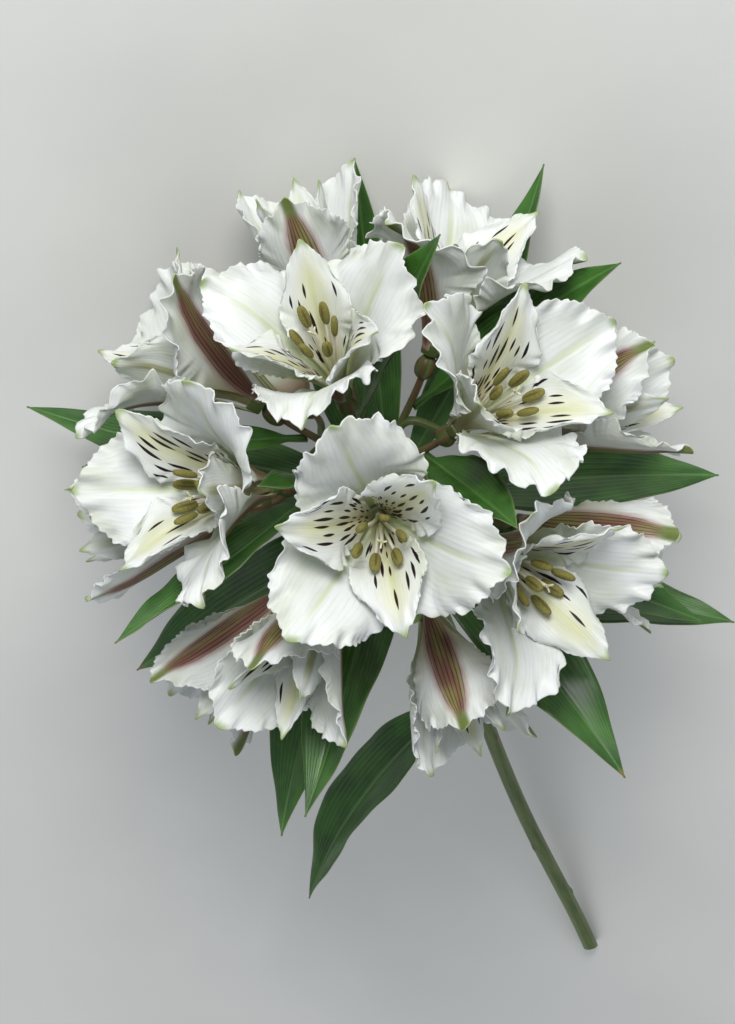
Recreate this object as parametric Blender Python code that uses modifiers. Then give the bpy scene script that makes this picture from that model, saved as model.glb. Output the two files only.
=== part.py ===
"""An alstroemeria stem: one cut flower stem with its umbel of white blooms, lying on its side.

The green axis (stem, rays and ovaries) grew as one piece and is one solid. Each bloom's six tepals are
one solid, its stamens and style another, and each leaf is a solid of its own.
All sizes are in millimetres and become metres when a mesh is made. The umbel is built round the point
where its rays meet. The stem runs back from there towards -Y and down to the surface at its cut end.
"""

import math

import bmesh
import bpy
import numpy as np
from mathutils import Matrix, Vector

MM = 0.001
SEAT_GAP = 0.3

# The lay of the stem: its slope, the height of the umbel's heart over the surface, and the last small
# turn and shift that set it down on its three low points with the origin under its middle.
STEM_SLOPE = 10.0
HEART_HEIGHT = 58.0
REST_PITCH = 1.187
REST_ROLL = -4.320
REST_SHIFT = (9.54, 100.39, 4.31)

# The stem.
STEM_LENGTH = 305.0
STEM_RADIUS = 2.9
NECK_RADIUS = 2.5
NODE_SPACING = 38.0
CUT_SLANT = 0.8
RAY_RADIUS = 1.5
OVARY_LENGTH = 8.0
OVARY_RADIUS = 3.1

# Sheet thickness of the solids.
TEPAL_THICK = 0.7
LEAF_THICK = 0.8

# One row for each kind of tepal: length, greatest half width, then the lean from the bloom's axis at the
# claw, half way and tip in degrees, the cross curvature there in 1/mm, the height of its waves, and the
# turn about the midrib that lays one edge over the next tepal.
TEPALS = {
    "open_outer": dict(length=54, half=19.5, lean=(18, 35, 58), cup=(0.20, 0.036, 0.004), wave=3.0, turn=7),
    "open_inner": dict(length=51, half=11.5, lean=(10, 25, 44), cup=(0.26, 0.052, 0.008), wave=1.8, turn=6),
    "half_outer": dict(length=50, half=17.0, lean=(21, 22, 16), cup=(0.22, 0.066, 0.045), wave=1.6, turn=6),
    "half_inner": dict(length=47, half=8.2, lean=(8, 13, 14), cup=(0.28, 0.140, 0.070), wave=0.7, turn=12),
}
CLAW_RADIUS = {"outer": 2.6, "inner": 1.6}
CLAW_HALF = {"outer": 1.6, "inner": 1.1}
CLAW_HEIGHT = 1.2
TIP_SHARE = {"outer": 0.78, "inner": 0.55}
TIP_BOW = {"outer": 0.20, "inner": 0.17}
MUCRO = 2.4

# The blooms: name, polar angle from the stem's line, azimuth round it (0 is up, 90 towards +X), distance
# from the umbel's heart to the bloom's seat, size, state, and the ray that carries it. The first bloom of
# a ray ends it and the later ones fork from it.
BLOOMS = (
    ("bloom_01", 6, 10, 50, 1.01, "open", 0),
    ("bloom_02", 51, 12, 47, 1.10, "open", 1),
    ("bloom_03", 46, 72, 46, 1.06, "open", 2),
    ("bloom_04", 46, -50, 46, 1.08, "open", 3),
    ("bloom_05", 44, 132, 46, 1.04, "open", 4),
    ("bloom_06", 47, -112, 46, 1.06, "open", 5),
    ("bloom_07", 84, 44, 44, 1.06, "open", 2),
    ("bloom_08", 33, -172, 50, 1.02, "half", 0),
    ("bloom_09", 82, -18, 44, 1.08, "half", 1),
    ("bloom_10", 82, 96, 45, 1.06, "half", 4),
    ("bloom_11", 80, -80, 45, 1.08, "half", 5),
    ("bloom_12", 104, -49, 44, 1.04, "half", 3),
    ("bloom_13", 109, 15, 44, 0.99, "half", 1),
    ("bloom_14", 108, 72, 44, 1.02, "half", 2),
    ("bloom_15", 80, -142, 44, 1.04, "bud", 5),
    ("bloom_16", 79, 12, 36, 0.94, "bud", 1),
)

# The leaves that grow on the stem, whorl first: name, distance behind the heart, polar angle, azimuth,
# length, half width and the arch over the length in degrees.
LEAVES = (
    ("leaf_01", 9, 98, -12, 106, 14.0, -12),
    ("leaf_02", 13, 114, 42, 112, 14.5, -12),
    ("leaf_03", 9, 106, 102, 106, 14.0, -8),
    ("leaf_04", 13, 113, -36, 110, 13.9, -14),
    ("leaf_05", 17, 110, -82, 112, 14.0, -10),
    ("leaf_06", 9, 96, -106, 124, 15.0, -5),
    ("leaf_07", 5, 76, -104, 122, 11.5, 0),
    ("leaf_08", 17, 117, 76, 104, 13.5, -12),
    ("leaf_09", 5, 66, 135, 114, 9.6, 22),
    ("leaf_10", 9, 56, 178, 110, 9.5, 36),
    ("leaf_11", 13, 62, -161, 95, 10.3, 43),
    ("leaf_12", 64, 92, 84, 98, 13.0, -24),
    ("leaf_13", 118, 112, -66, 100, 13.5, -26),
)

# The leaves on the rays: name, ray, place along it (0 to 1) and clock round it, then as for the leaves.
BRACTS = (
    ("bract_01", 1, 0.29, 331, 43, -23, 84, 9.5, 8),
    ("bract_02", 2, 0.71, 222, 63, 32, 84, 9.1, 0),
    ("bract_03", 3, 0.73, 159, 87, -48, 82, 9.0, 4),
    ("bract_04", 4, 0.73, 312, 67, 109, 82, 9.3, -1),
    ("bract_05", 5, 0.76, 85, 59, -71, 76, 8.0, -5),
    ("bract_06", 0, 0.83, 303, 33, 109, 80, 9.5, 1),
)

COLOURS = {
    "stem": ((0.13, 0.20, 0.05), 0.45),
    "leaf": ((0.03, 0.11, 0.02), 0.35),
    "tepals": ((0.86, 0.87, 0.82), 0.5),
    "stamens": ((0.30, 0.29, 0.07), 0.6),
}


def smoothstep(low, high, x):
    t = np.clip((x - low) / (high - low), 0.0, 1.0)
    return t * t * (3 - 2 * t)


def unit(v):
    return np.asarray(v, float) / np.linalg.norm(v)


STEM_LINE = np.array([0.0, math.cos(math.radians(STEM_SLOPE)), math.sin(math.radians(STEM_SLOPE))])
STEM_TOP = np.array([0.0, -STEM_LINE[2], STEM_LINE[1]])
STEM_SIDE = np.array([1.0, 0.0, 0.0])
HEART = np.array([0.0, 0.0, HEART_HEIGHT])


def outward(polar, azimuth):
    """The direction that leaves the heart at this polar angle from the stem's line and this azimuth."""
    a, p = math.radians(polar), math.radians(azimuth)
    across = math.cos(p) * STEM_TOP + math.sin(p) * STEM_SIDE
    return math.cos(a) * STEM_LINE + math.sin(a) * across


def mesh_object(name, mesh, kind, place=None):
    """An object with that mesh and the material of its kind, linked to the scene."""
    obj = bpy.data.objects.new(name, mesh)
    mesh.materials.clear()
    mesh.materials.append(MATERIALS[kind])
    if place is not None:
        obj.matrix_world = place
    bpy.context.scene.collection.objects.link(obj)
    return obj


def sheet_mesh(name, points):
    """A grid whose vertices sit at points[row, column], split into triangles."""
    rows, columns = points.shape[0] - 1, points.shape[1] - 1
    grid = bmesh.new()
    bmesh.ops.create_grid(grid, x_segments=columns, y_segments=rows, size=1)
    for vertex in grid.verts:
        column = round((vertex.co.x + 1) / 2 * columns)
        row = round((vertex.co.y + 1) / 2 * rows)
        vertex.co = Vector(points[row, column]) * MM
    bmesh.ops.triangulate(grid, faces=grid.faces[:])
    mesh = bpy.data.meshes.new(name)
    grid.to_mesh(mesh)
    grid.free()
    return mesh


def baked(obj, weld=False):
    """The object's evaluated mesh as a plain mesh object in the same place, its doubled points welded."""
    bpy.context.view_layer.update()
    graph = bpy.context.evaluated_depsgraph_get()
    mesh = bpy.data.meshes.new_from_object(obj.evaluated_get(graph))
    if weld:
        points = bmesh.new()
        points.from_mesh(mesh)
        bmesh.ops.remove_doubles(points, verts=points.verts[:], dist=0.00001)
        points.to_mesh(mesh)
        points.free()
    solid = bpy.data.objects.new(obj.name + "_solid", mesh)
    solid.matrix_world = obj.matrix_world.copy()
    bpy.context.scene.collection.objects.link(solid)
    bpy.data.objects.remove(obj)
    return solid


def thick_sheet(name, points, thickness):
    """A closed solid of that thickness with the grid of points as its middle surface."""
    obj = bpy.data.objects.new(name, sheet_mesh(name, points))
    bpy.context.scene.collection.objects.link(obj)
    shell = obj.modifiers.new("thickness", "SOLIDIFY")
    shell.thickness = thickness * MM
    shell.offset = 0
    return baked(obj)


def tube(name, points, radii, sides):
    """A tube of 4 or more sides along the points, with a radius at each point and closed ends."""
    curve = bpy.data.curves.new(name, "CURVE")
    curve.dimensions = "3D"
    curve.bevel_depth = MM
    curve.bevel_resolution = (sides - 4) // 2
    curve.use_fill_caps = True
    line = curve.splines.new("POLY")
    line.points.add(len(points) - 1)
    for knot, place, radius in zip(line.points, points, radii):
        knot.co = (*(np.asarray(place) * MM), 1)
        knot.radius = radius
    obj = bpy.data.objects.new(name, curve)
    bpy.context.scene.collection.objects.link(obj)
    return baked(obj, weld=True)


def primitive(name, make, place, **sizes):
    """A bmesh primitive as an object at that matrix, given in millimetres."""
    shape = bmesh.new()
    make(shape, matrix=place, **sizes)
    bmesh.ops.scale(shape, vec=(MM, MM, MM), verts=shape.verts[:])
    mesh = bpy.data.meshes.new(name)
    shape.to_mesh(mesh)
    shape.free()
    obj = bpy.data.objects.new(name, mesh)
    bpy.context.scene.collection.objects.link(obj)
    return obj


def fused(name, kind, core, pieces, place=None):
    """The core and the pieces as one solid, by one Boolean union on a collection."""
    group = bpy.data.collections.new(name + "_pieces")
    for piece in pieces:
        bpy.context.scene.collection.objects.unlink(piece)
        group.objects.link(piece)
    bpy.context.scene.collection.children.link(group)
    union = core.modifiers.new("union", "BOOLEAN")
    union.operation = "UNION"
    union.operand_type = "COLLECTION"
    union.solver = "MANIFOLD"
    union.collection = group
    solid = baked(core)
    for piece in pieces:
        bpy.data.objects.remove(piece)
    bpy.data.collections.remove(group)
    whole = mesh_object(name, solid.data, kind, place)
    bpy.data.objects.remove(solid)
    return whole


def towards(direction, top):
    """A turn whose Z points along direction and whose Y points as near to top as it can."""
    z = unit(direction)
    x = unit(np.cross(top, z))
    y = np.cross(z, x)
    return Matrix(np.column_stack([x, y, z]).tolist()).to_4x4()


# Tepals

def tepal_sheet(kind, whorl, rows, columns, draw):
    """Points of one tepal, with X away from the bloom's axis, Y across and Z along the axis.

    The midrib is a line whose lean from the axis grows from claw to tip. Each cross-section is an arc
    about it, cupped at the claw and flat or rolled back at the tip, and turned a little so that each
    tepal lies over the next. The edge carries waves that die out towards the midrib.
    """
    shape = TEPALS[kind]
    length, half = shape["length"], shape["half"] * (1 + 0.05 * draw[0])
    fine = 8
    u = np.linspace(0, 1, rows + 1)[:, None]
    v = np.linspace(-1, 1, columns * fine + 1)[None, :]

    widen = smoothstep(0.02, 0.68, u)
    taper = 1 - (1 - TIP_SHARE[whorl]) * smoothstep(0.70, 1.0, u) ** 1.2
    width = CLAW_HALF[whorl] + (half - CLAW_HALF[whorl]) * widen * taper
    bow = TIP_BOW[whorl] * smoothstep(0.40, 1.0, u) * v**2
    along = u - bow + MUCRO / length * np.exp(-((v / 0.16) ** 2)) * u**10

    steps = np.linspace(0, 1.1, 89)
    claw, middle, tip = shape["lean"]
    tip = tip + 7 * draw[1]
    lean = np.radians(claw + (middle - claw) * smoothstep(0, 0.5, steps)
                      + (tip - middle) * smoothstep(0.5, 1.0, steps))
    stride = length * steps[1]
    out = CLAW_RADIUS[whorl] + np.concatenate([[0], np.cumsum(np.sin(lean[:-1]) * stride)])
    up = CLAW_HEIGHT + np.concatenate([[0], np.cumsum(np.cos(lean[:-1]) * stride)])
    radius, height, angle = (np.interp(along, steps, line) for line in (out, up, lean))

    base_cup, mid_cup, tip_cup = shape["cup"]
    cup = base_cup + (mid_cup - base_cup) * smoothstep(0, 0.4, u) + (tip_cup - mid_cup) * smoothstep(0.5, 1, u)
    roll = np.where(v > 0, draw[2], draw[3]) * 0.55 * np.abs(v) ** 3 * smoothstep(0.4, 0.9, u)
    bend = cup * width * v + np.sign(v) * roll + math.radians(shape["turn"]) * smoothstep(0.1, 0.5, u)
    step = 2 / (columns * fine)
    across = np.cumsum(np.cos(bend), axis=1) * width * step
    inward = np.cumsum(np.sin(bend), axis=1) * width * step
    centre = columns * fine // 2
    across -= across[:, centre:centre + 1]
    inward -= inward[:, centre:centre + 1]

    clock = np.arctan2(v * half, (along - 0.5) * length)
    rim = 1 - (1 - np.abs(v) ** 3 * smoothstep(0.25, 0.65, u)) * (1 - 0.7 * smoothstep(0.72, 1, u))
    inward = inward + shape["wave"] * rim * np.sin(4 * clock + 3 * draw[4])

    points = np.stack([radius - inward * np.cos(angle), across, height + inward * np.sin(angle)], axis=-1)
    return points[:, ::fine]


def turned(points, degrees):
    """Points turned about Z."""
    a = math.radians(degrees)
    turn = np.array([[math.cos(a), -math.sin(a), 0], [math.sin(a), math.cos(a), 0], [0, 0, 1]])
    return points @ turn.T


WHORLS = (("outer", 90), ("outer", 210), ("outer", 330), ("inner", 30), ("inner", 150), ("inner", 270))
CUP_HEIGHT = 4.0
TEPAL_ROWS = {"open": 5, "half": 4}
TEPAL_COLUMNS = {"outer": 4, "inner": 2}


def tepals(name, state, draws, place):
    """The six tepals of a bloom, sunk into the small cup at their claws."""
    sheets = []
    for (whorl, clock), draw in zip(WHORLS, draws):
        points = tepal_sheet(f"{state}_{whorl}", whorl, TEPAL_ROWS[state], TEPAL_COLUMNS[whorl],
                             draw)
        sheets.append(thick_sheet(f"{name}_{whorl}", turned(points, clock), TEPAL_THICK))
    cup = primitive(name + "_cup", bmesh.ops.create_cone, Matrix.Translation((0, 0, CUP_HEIGHT / 2)),
                    cap_ends=True, segments=6, radius1=3.8, radius2=5.0, depth=CUP_HEIGHT)
    return fused(name + "_tepals", "tepals", cup, sheets, place)


# Stamens

STAMEN_FOOT = CUP_HEIGHT + SEAT_GAP
STAMEN_REACH = 33.0
STAMEN_SPREAD = 6.2
BUNDLE_REACH = 24.0


def spindle(name, centre, along):
    """An anther: a pointed, slightly flat spindle."""
    turn = Vector(along).to_track_quat("Z", "Y").to_matrix().to_4x4()
    place = Matrix.Translation(centre) @ turn @ Matrix.Diagonal((1.6, 1.2, 3.8, 1))
    return primitive(name, bmesh.ops.create_uvsphere, place, u_segments=4, v_segments=3, radius=1.0)


def rod(name, start, end, radius, top_radius, sides):
    lift = end - start
    turn = lift.to_track_quat("Z", "Y").to_matrix().to_4x4()
    return primitive(name, bmesh.ops.create_cone, Matrix.Translation(start + lift / 2) @ turn, cap_ends=True,
                     segments=sides, radius1=radius, radius2=top_radius, depth=lift.length)


def stamens(name, draws, place):
    """Six spread filaments with their anthers and the style, on one small foot inside the bloom."""
    foot = rod(name + "_foot", Vector((0, 0, STAMEN_FOOT)), Vector((0, 0, STAMEN_FOOT + 2.5)), 1.1, 1.1, 6)
    start = Vector((0, 0, STAMEN_FOOT + 1.4))
    tip = Vector((0.6, -0.35 * STAMEN_SPREAD, STAMEN_REACH - 2))
    pieces = [rod(f"{name}_style", start, tip, 0.7, 0.5, 3)]
    for k in range(6):
        clock = math.radians(60 * k)
        height = STAMEN_REACH - 6 + 6 * (0.5 + 0.5 * draws[k][5])
        end = Vector((math.cos(clock), math.sin(clock) - 0.35, 0)) * STAMEN_SPREAD + Vector((0, 0, height))
        pieces.append(rod(f"{name}_filament_{k}", start, end, 0.75, 0.6, 3))
        pieces.append(spindle(f"{name}_anther_{k}", end, end - start))
    return fused(name + "_stamens", "stamens", foot, pieces, place)


def stamen_bundle(name, draws, place):
    """The stamens of a half-open bloom, still gathered round the style."""
    foot = rod(name + "_foot", Vector((0, 0, STAMEN_FOOT)), Vector((0, 0, BUNDLE_REACH)), 1.1, 0.9, 6)
    pieces = []
    for k in range(6):
        clock = math.radians(60 * k)
        height = BUNDLE_REACH - 3 + 2 * draws[k][5]
        centre = Vector((1.55 * math.cos(clock), 1.55 * math.sin(clock), height))
        pieces.append(spindle(f"{name}_anther_{k}", centre, (0, 0, 1)))
    return fused(name + "_stamens", "stamens", foot, pieces, place)


# Buds

BUD_LENGTH = 34.0
BUD_RADIUS = 6.8


def bud(name, place):
    """A closed bud: three outer tepals wrapped into a pointed egg with three low keels."""
    shape = bmesh.new()
    bmesh.ops.create_uvsphere(shape, u_segments=12, v_segments=8, radius=1.0)
    for vertex in shape.verts:
        x, y, z = vertex.co
        ring = math.hypot(x, y)
        along = (1 - math.cos(math.pi * (z + 1) / 2)) / 2
        clock = math.atan2(y, x)
        girth = BUD_RADIUS * ring * (1.12 - 0.5 * along) * (1 + 0.07 * math.cos(3 * clock - math.pi / 2))
        turn = clock + 0.25 * along
        vertex.co = Vector((girth * math.cos(turn), girth * math.sin(turn), BUD_LENGTH * along)) * MM
    mesh = bpy.data.meshes.new(name)
    shape.to_mesh(mesh)
    shape.free()
    return mesh_object(name + "_tepals", mesh, "tepals", place)


# Leaves

LEAF_ROWS = 7
BRACT_ROWS = 5
LEAF_COLUMNS = 2
PETIOLE_HALF = 1.5


def leaf_sheet(root, direction, top, length, half, arch, draw, rows, columns):
    """Points of a leaf that leaves root along direction, with its upper face towards top.

    It is a lance with a narrow foot, folded a little along its midrib, arched over its length by arch
    degrees and waved along both edges.
    """
    start, side = unit(direction), unit(np.cross(direction, top))
    upper = np.cross(side, start)
    s = np.linspace(0, 1, rows + 1)
    v = np.linspace(-1, 1, columns + 1)[None, :]
    blade = np.clip((s - 0.06) / 0.94, 0, 1)
    lance = blade**0.9 * (1 - blade) ** 1.1
    peak = 0.45**0.9 * 0.55**1.1
    width = np.maximum(np.interp(s, [0, 0.12, 1], [PETIOLE_HALF, PETIOLE_HALF, 0.45]), half * lance / peak)

    fine = np.linspace(0, 1, 81)
    tilt = np.radians(arch) * fine**1.4
    swing = np.radians(16 * draw[0]) * fine**1.5
    forward = np.cos(tilt) * np.cos(swing)
    lift, drift = np.sin(tilt), np.cos(tilt) * np.sin(swing)
    rate = np.stack([forward, drift, lift], axis=-1)
    walked = np.concatenate([np.zeros((1, 3)), np.cumsum((rate[1:] + rate[:-1]) / 2, axis=0)]) * length / 80
    spine = np.stack([np.interp(s, fine, walked[:, k]) for k in range(3)], axis=-1)
    pitch, yaw = np.interp(s, fine, tilt), np.interp(s, fine, swing)

    fold = math.radians(16 + 6 * draw[1]) * smoothstep(0.02, 0.2, s)[:, None]
    turn = math.radians(24 * draw[2]) * s[:, None] ** 1.5
    x = width[:, None] * v
    raised = np.abs(x) * np.sin(fold) + 1.3 * v**2 * np.sin(13 * s[:, None] + 2.5 * np.sign(v) + 3 * draw[3]) * (
        smoothstep(0.1, 0.4, s) * smoothstep(1, 0.8, s))[:, None]
    flat = x * np.cos(fold)
    across = flat * np.cos(turn) - raised * np.sin(turn)
    above = flat * np.sin(turn) + raised * np.cos(turn)
    pitch, yaw = pitch[:, None], yaw[:, None]
    local = np.stack([
        spine[:, None, 0] - above * np.sin(pitch) - across * np.sin(yaw) * np.cos(pitch),
        spine[:, None, 1] + across * np.cos(yaw),
        spine[:, None, 2] + above * np.cos(pitch),
    ], axis=-1)
    axes = np.stack([start, side, upper])
    return np.asarray(root) + local @ axes


def leaf(name, root, direction, top, length, half, arch, seed, rows=LEAF_ROWS):
    draw = np.random.default_rng(seed).uniform(-1, 1, 4)
    points = leaf_sheet(root, direction, top, length, half, arch, draw, rows, LEAF_COLUMNS)
    solid = thick_sheet(name, points, LEAF_THICK)
    made = mesh_object(name, solid.data, "leaf")
    bpy.data.objects.remove(solid)
    return made


def grown_leaf(number, row):
    """A leaf on the stem."""
    name, back, polar, azimuth, length, half, arch = row
    radial = outward(90, azimuth)
    root = stem_point(back) + radial * (stem_radius(back) + SEAT_GAP)
    return leaf(name, root, outward(polar, azimuth), STEM_LINE, length, half, arch, 40 + number)


def bract_foot(ray, place, clock):
    """Where a bract's foot lies on its ray."""
    path = RAY_PATHS[ray]
    at = place * (len(path) - 1)
    k = min(int(at), len(path) - 2)
    centre, along = path[k] + (path[k + 1] - path[k]) * (at - k), unit(path[k + 1] - path[k])
    side = unit(np.cross(along, STEM_SIDE))
    turn = math.radians(clock)
    off = math.cos(turn) * side + math.sin(turn) * np.cross(along, side)
    return centre + off * (ray_radius(place) + SEAT_GAP + LEAF_THICK / 4)


def bract(number, row):
    """A leaf on a ray."""
    name, ray, place, clock, polar, azimuth, length, half, arch = row
    root = bract_foot(ray, place, clock)
    return leaf(name, root, outward(polar, azimuth), STEM_LINE, length, half, arch, 60 + number, BRACT_ROWS)


# The green axis

FORK_AT = 2


def stem_radius(back):
    return NECK_RADIUS + (STEM_RADIUS - NECK_RADIUS) * back / STEM_LENGTH


def ray_radius(place):
    return RAY_RADIUS * (1 - 0.25 * place)


def stem_point(back):
    """A point of the stem's line, this far behind the heart. The line swings a little from side to side."""
    part = back / STEM_LENGTH
    return HEART - STEM_LINE * back + STEM_SIDE * 2.2 * math.sin(8 * part) * part


def seat_of(row):
    """Where a bloom sits and the way it faces."""
    axis = outward(row[1], row[2])
    return HEART + axis * row[3], axis


def ray_path(start, heading, end, axis):
    """A cubic from start, leaving along heading, to the end, where it arrives along the bloom's axis."""
    t = np.linspace(0, 1, 5)[:, None]
    reach = np.linalg.norm(end - start)
    a, b = start + heading * reach * 0.4, end - axis * reach * 0.35
    return (1 - t) ** 3 * start + 3 * (1 - t) ** 2 * t * a + 3 * (1 - t) * t**2 * b + t**3 * end


def ray_paths():
    """The line of each bloom's ray from the heart, or from its fork, into the ovary; and each ray's own."""
    lines, rays = [], {}
    for row in BLOOMS:
        seat, axis = seat_of(row)
        end = seat - axis * (OVARY_LENGTH * row[4] + SEAT_GAP - 1.5)
        if row[6] in rays:
            first = rays[row[6]]
            start, heading = first[FORK_AT], unit(first[FORK_AT + 1] - first[FORK_AT - 1])
        else:
            start, heading = HEART - STEM_LINE * 2, unit(STEM_LINE + 0.6 * axis)
        line = ray_path(start, heading, end, axis)
        rays.setdefault(row[6], line)
        lines.append(line)
    return lines, rays


def slant_cut(mesh, end):
    """The stem's last ring, leant over as the blade left it."""
    for vertex in mesh.vertices:
        from_end = np.array(vertex.co) / MM - end
        if abs(from_end @ STEM_LINE) < STEM_RADIUS:
            vertex.co += Vector(STEM_LINE * CUT_SLANT * (from_end @ STEM_TOP)) * MM


def green_axis():
    """The stem with its leaf scars, the rays of the umbel, and the ovary under each bloom."""
    back = np.linspace(0, STEM_LENGTH, 12)
    line = [stem_point(b) for b in back]
    core = tube("axis", line, [stem_radius(b) for b in back], 8)
    slant_cut(core.data, line[-1])
    pieces = []
    for k, (row, path) in enumerate(zip(BLOOMS, RAY_LINES)):
        seat, axis = seat_of(row)
        radii = [ray_radius(t) for t in np.linspace(0, 1, len(path))]
        pieces.append(tube(f"ray_{k}", path, radii, 6))
        deep = OVARY_LENGTH * row[4] / 2
        place = Matrix.Translation(seat - axis * (deep + SEAT_GAP)) @ towards(axis, STEM_TOP)
        place = place @ Matrix.Diagonal((row[4], row[4], deep / OVARY_RADIUS, 1))
        pieces.append(primitive(f"ovary_{k}", bmesh.ops.create_uvsphere, place, u_segments=6, v_segments=3,
                                radius=OVARY_RADIUS))
    for k, at in enumerate(np.arange(34, STEM_LENGTH - 12, NODE_SPACING)):
        clock = math.radians(137.5 * k)
        across = math.cos(clock) * STEM_TOP + math.sin(clock) * STEM_SIDE
        centre = stem_point(at) + across * (stem_radius(at) - 0.4)
        place = Matrix.Translation(centre) @ towards(STEM_LINE, across) @ Matrix.Diagonal((1.3, 0.9, 2.0, 1))
        pieces.append(primitive(f"scar_{k}", bmesh.ops.create_icosphere, place, subdivisions=1, radius=1.0))
    return fused("stem", "stem", core, pieces)


def material(name, colour, roughness):
    made = bpy.data.materials.new(name)
    made.use_nodes = True
    shader = made.node_tree.nodes["Principled BSDF"]
    shader.inputs["Base Color"].default_value = (*colour, 1)
    shader.inputs["Roughness"].default_value = roughness
    return made


def bloom(number, row):
    name, polar, azimuth, reach, size, state, ray = row
    seat, axis = seat_of(row)
    dorsal = STEM_LINE if polar > 20 else STEM_TOP
    place = Matrix.Translation(Vector(seat) * MM) @ towards(axis, dorsal) @ Matrix.Scale(size, 4)
    if state == "bud":
        return [bud(name, place)]
    draws = np.random.default_rng(number).uniform(-1, 1, (6, 6))
    inside = stamens if state == "open" else stamen_bundle
    return [tepals(name, state, draws, place), inside(name, draws, place)]


def main():
    parts = [green_axis()]
    for number, row in enumerate(BLOOMS, 1):
        parts += bloom(number, row)
    parts += [grown_leaf(number, row) for number, row in enumerate(LEAVES, 1)]
    parts += [bract(number, row) for number, row in enumerate(BRACTS, 1)]
    lay = bpy.data.objects.new("lay", None)
    lay.rotation_euler = (math.radians(REST_PITCH), math.radians(REST_ROLL), 0)
    lay.location = Vector(REST_SHIFT) * MM
    collection = bpy.data.collections.new("alstroemeria_stem")
    bpy.context.scene.collection.children.link(collection)
    collection.objects.link(lay)
    for part in parts:
        bpy.context.scene.collection.objects.unlink(part)
        collection.objects.link(part)
        part.parent = lay


for leftover in list(bpy.data.objects):
    bpy.data.objects.remove(leftover)
MATERIALS = {kind: material(kind, *look) for kind, look in COLOURS.items()}
RAY_LINES, RAY_PATHS = ray_paths()
main()
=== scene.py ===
# %% [markdown]
# # A stem of white alstroemeria
# One cut stem lies on its side on a pale floor. Its umbel carries open blooms, half-open funnels and buds,
# and a whorl of pointed leaves spreads behind them. The plain solids of the model come in as a frame. Each
# of them is then replaced by a finer surface that follows the same formula, so that nothing moves and only
# the frills, the nerves and the finish are new.

# %% Load the frame
import math
from collections import namedtuple

import bpy
import numpy as np
from mathutils import Matrix, Vector


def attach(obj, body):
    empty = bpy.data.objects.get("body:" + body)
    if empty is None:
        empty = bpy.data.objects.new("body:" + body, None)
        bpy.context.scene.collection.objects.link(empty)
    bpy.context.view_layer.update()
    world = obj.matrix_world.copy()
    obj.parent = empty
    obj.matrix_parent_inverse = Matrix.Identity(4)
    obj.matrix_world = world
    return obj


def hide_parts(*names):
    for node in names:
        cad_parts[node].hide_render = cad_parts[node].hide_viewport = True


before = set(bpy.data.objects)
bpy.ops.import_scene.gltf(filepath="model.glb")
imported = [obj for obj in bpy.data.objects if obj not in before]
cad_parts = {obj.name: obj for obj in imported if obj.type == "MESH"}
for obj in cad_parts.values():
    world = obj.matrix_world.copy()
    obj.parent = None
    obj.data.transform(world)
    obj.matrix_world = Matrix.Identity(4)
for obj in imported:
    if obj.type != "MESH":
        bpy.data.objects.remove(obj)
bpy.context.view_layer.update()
MM = 0.001
print("frame nodes:", len(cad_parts))

# %% [markdown]
# ## From a grid of points to a petal-thin solid
# A petal or a leaf is a surface: every point of it has a place along its length and a place across it. It
# could be a plane bent by modifiers, but a formula puts each point straight where it belongs. The grid is
# pushed half a thickness to each side along its normals, which gives the two faces, and a narrow strip round
# the outline closes them. Stems and anthers are rings of points instead, closed round.

# %% Helpers for arrays


def smoothstep(low, high, x):
    """0 below low, 1 above high, and 3t^2 - 2t^3 between them."""
    t = np.clip((x - low) / (high - low), 0.0, 1.0)
    return t * t * (3 - 2 * t)


def unit(v):
    """Vectors of length one along the last axis."""
    v = np.asarray(v, float)
    return v / np.maximum(np.linalg.norm(v, axis=-1, keepdims=True), 1e-12)


def joined(x, y, z):
    """Three arrays that broadcast together, as one array of threes."""
    return np.stack(np.broadcast_arrays(x, y, z), axis=-1)


def clock_angles(sides):
    """Equal steps round a circle, as one row."""
    return np.linspace(0, 2 * np.pi, sides, endpoint=False)[None, :]


def rings(radius, clock, height):
    """Points round Z: (radius cos, radius sin, height)."""
    return joined(radius * np.cos(clock), radius * np.sin(clock), height)


print("smoothstep at a quarter:", smoothstep(0, 1, 0.25))

# %% Faces between the points


def grid_normals(points):
    """The normal of a grid: the row direction crossed with the column direction."""
    along, across = np.gradient(points, axis=0), np.gradient(points, axis=1)
    return unit(np.cross(along, across))


def grid_quads(rows, columns, first=0):
    """Corner numbers of the quads of a grid, facing the way of grid_normals."""
    r, c = np.meshgrid(np.arange(rows - 1), np.arange(columns - 1), indexing="ij")
    a = first + r * columns + c
    return np.stack([a, a + columns, a + columns + 1, a + 1], axis=-1).reshape(-1, 4)


def ring_quads(rows, sides):
    """The quads between rings of points, closed round and facing outwards."""
    r, c = np.meshgrid(np.arange(rows - 1), np.arange(sides), indexing="ij")
    a, b = r * sides + c, r * sides + (c + 1) % sides
    return np.stack([a, b, b + sides, a + sides], axis=-1).reshape(-1, 4)


print("quads of 3 by 4 points:", len(grid_quads(3, 4)), "and of 3 rings of 4:", len(ring_quads(3, 4)))

# %% [markdown]
# ### One mesh from many surfaces
# A bloom has six tepals, and they grew together, so they become one mesh. Joining objects would do that too,
# but here the arrays are simply strung together before the mesh is made. Each point also carries two sets
# of three numbers: its place on the petal, and what kind of petal it is. The finishes read them, so a nerve
# follows the petal wherever it bends.

# %% The builder


def put(name, data):
    """An object with that data, in the scene."""
    made = bpy.data.objects.new(name, data)
    bpy.context.scene.collection.objects.link(made)
    return made


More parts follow.
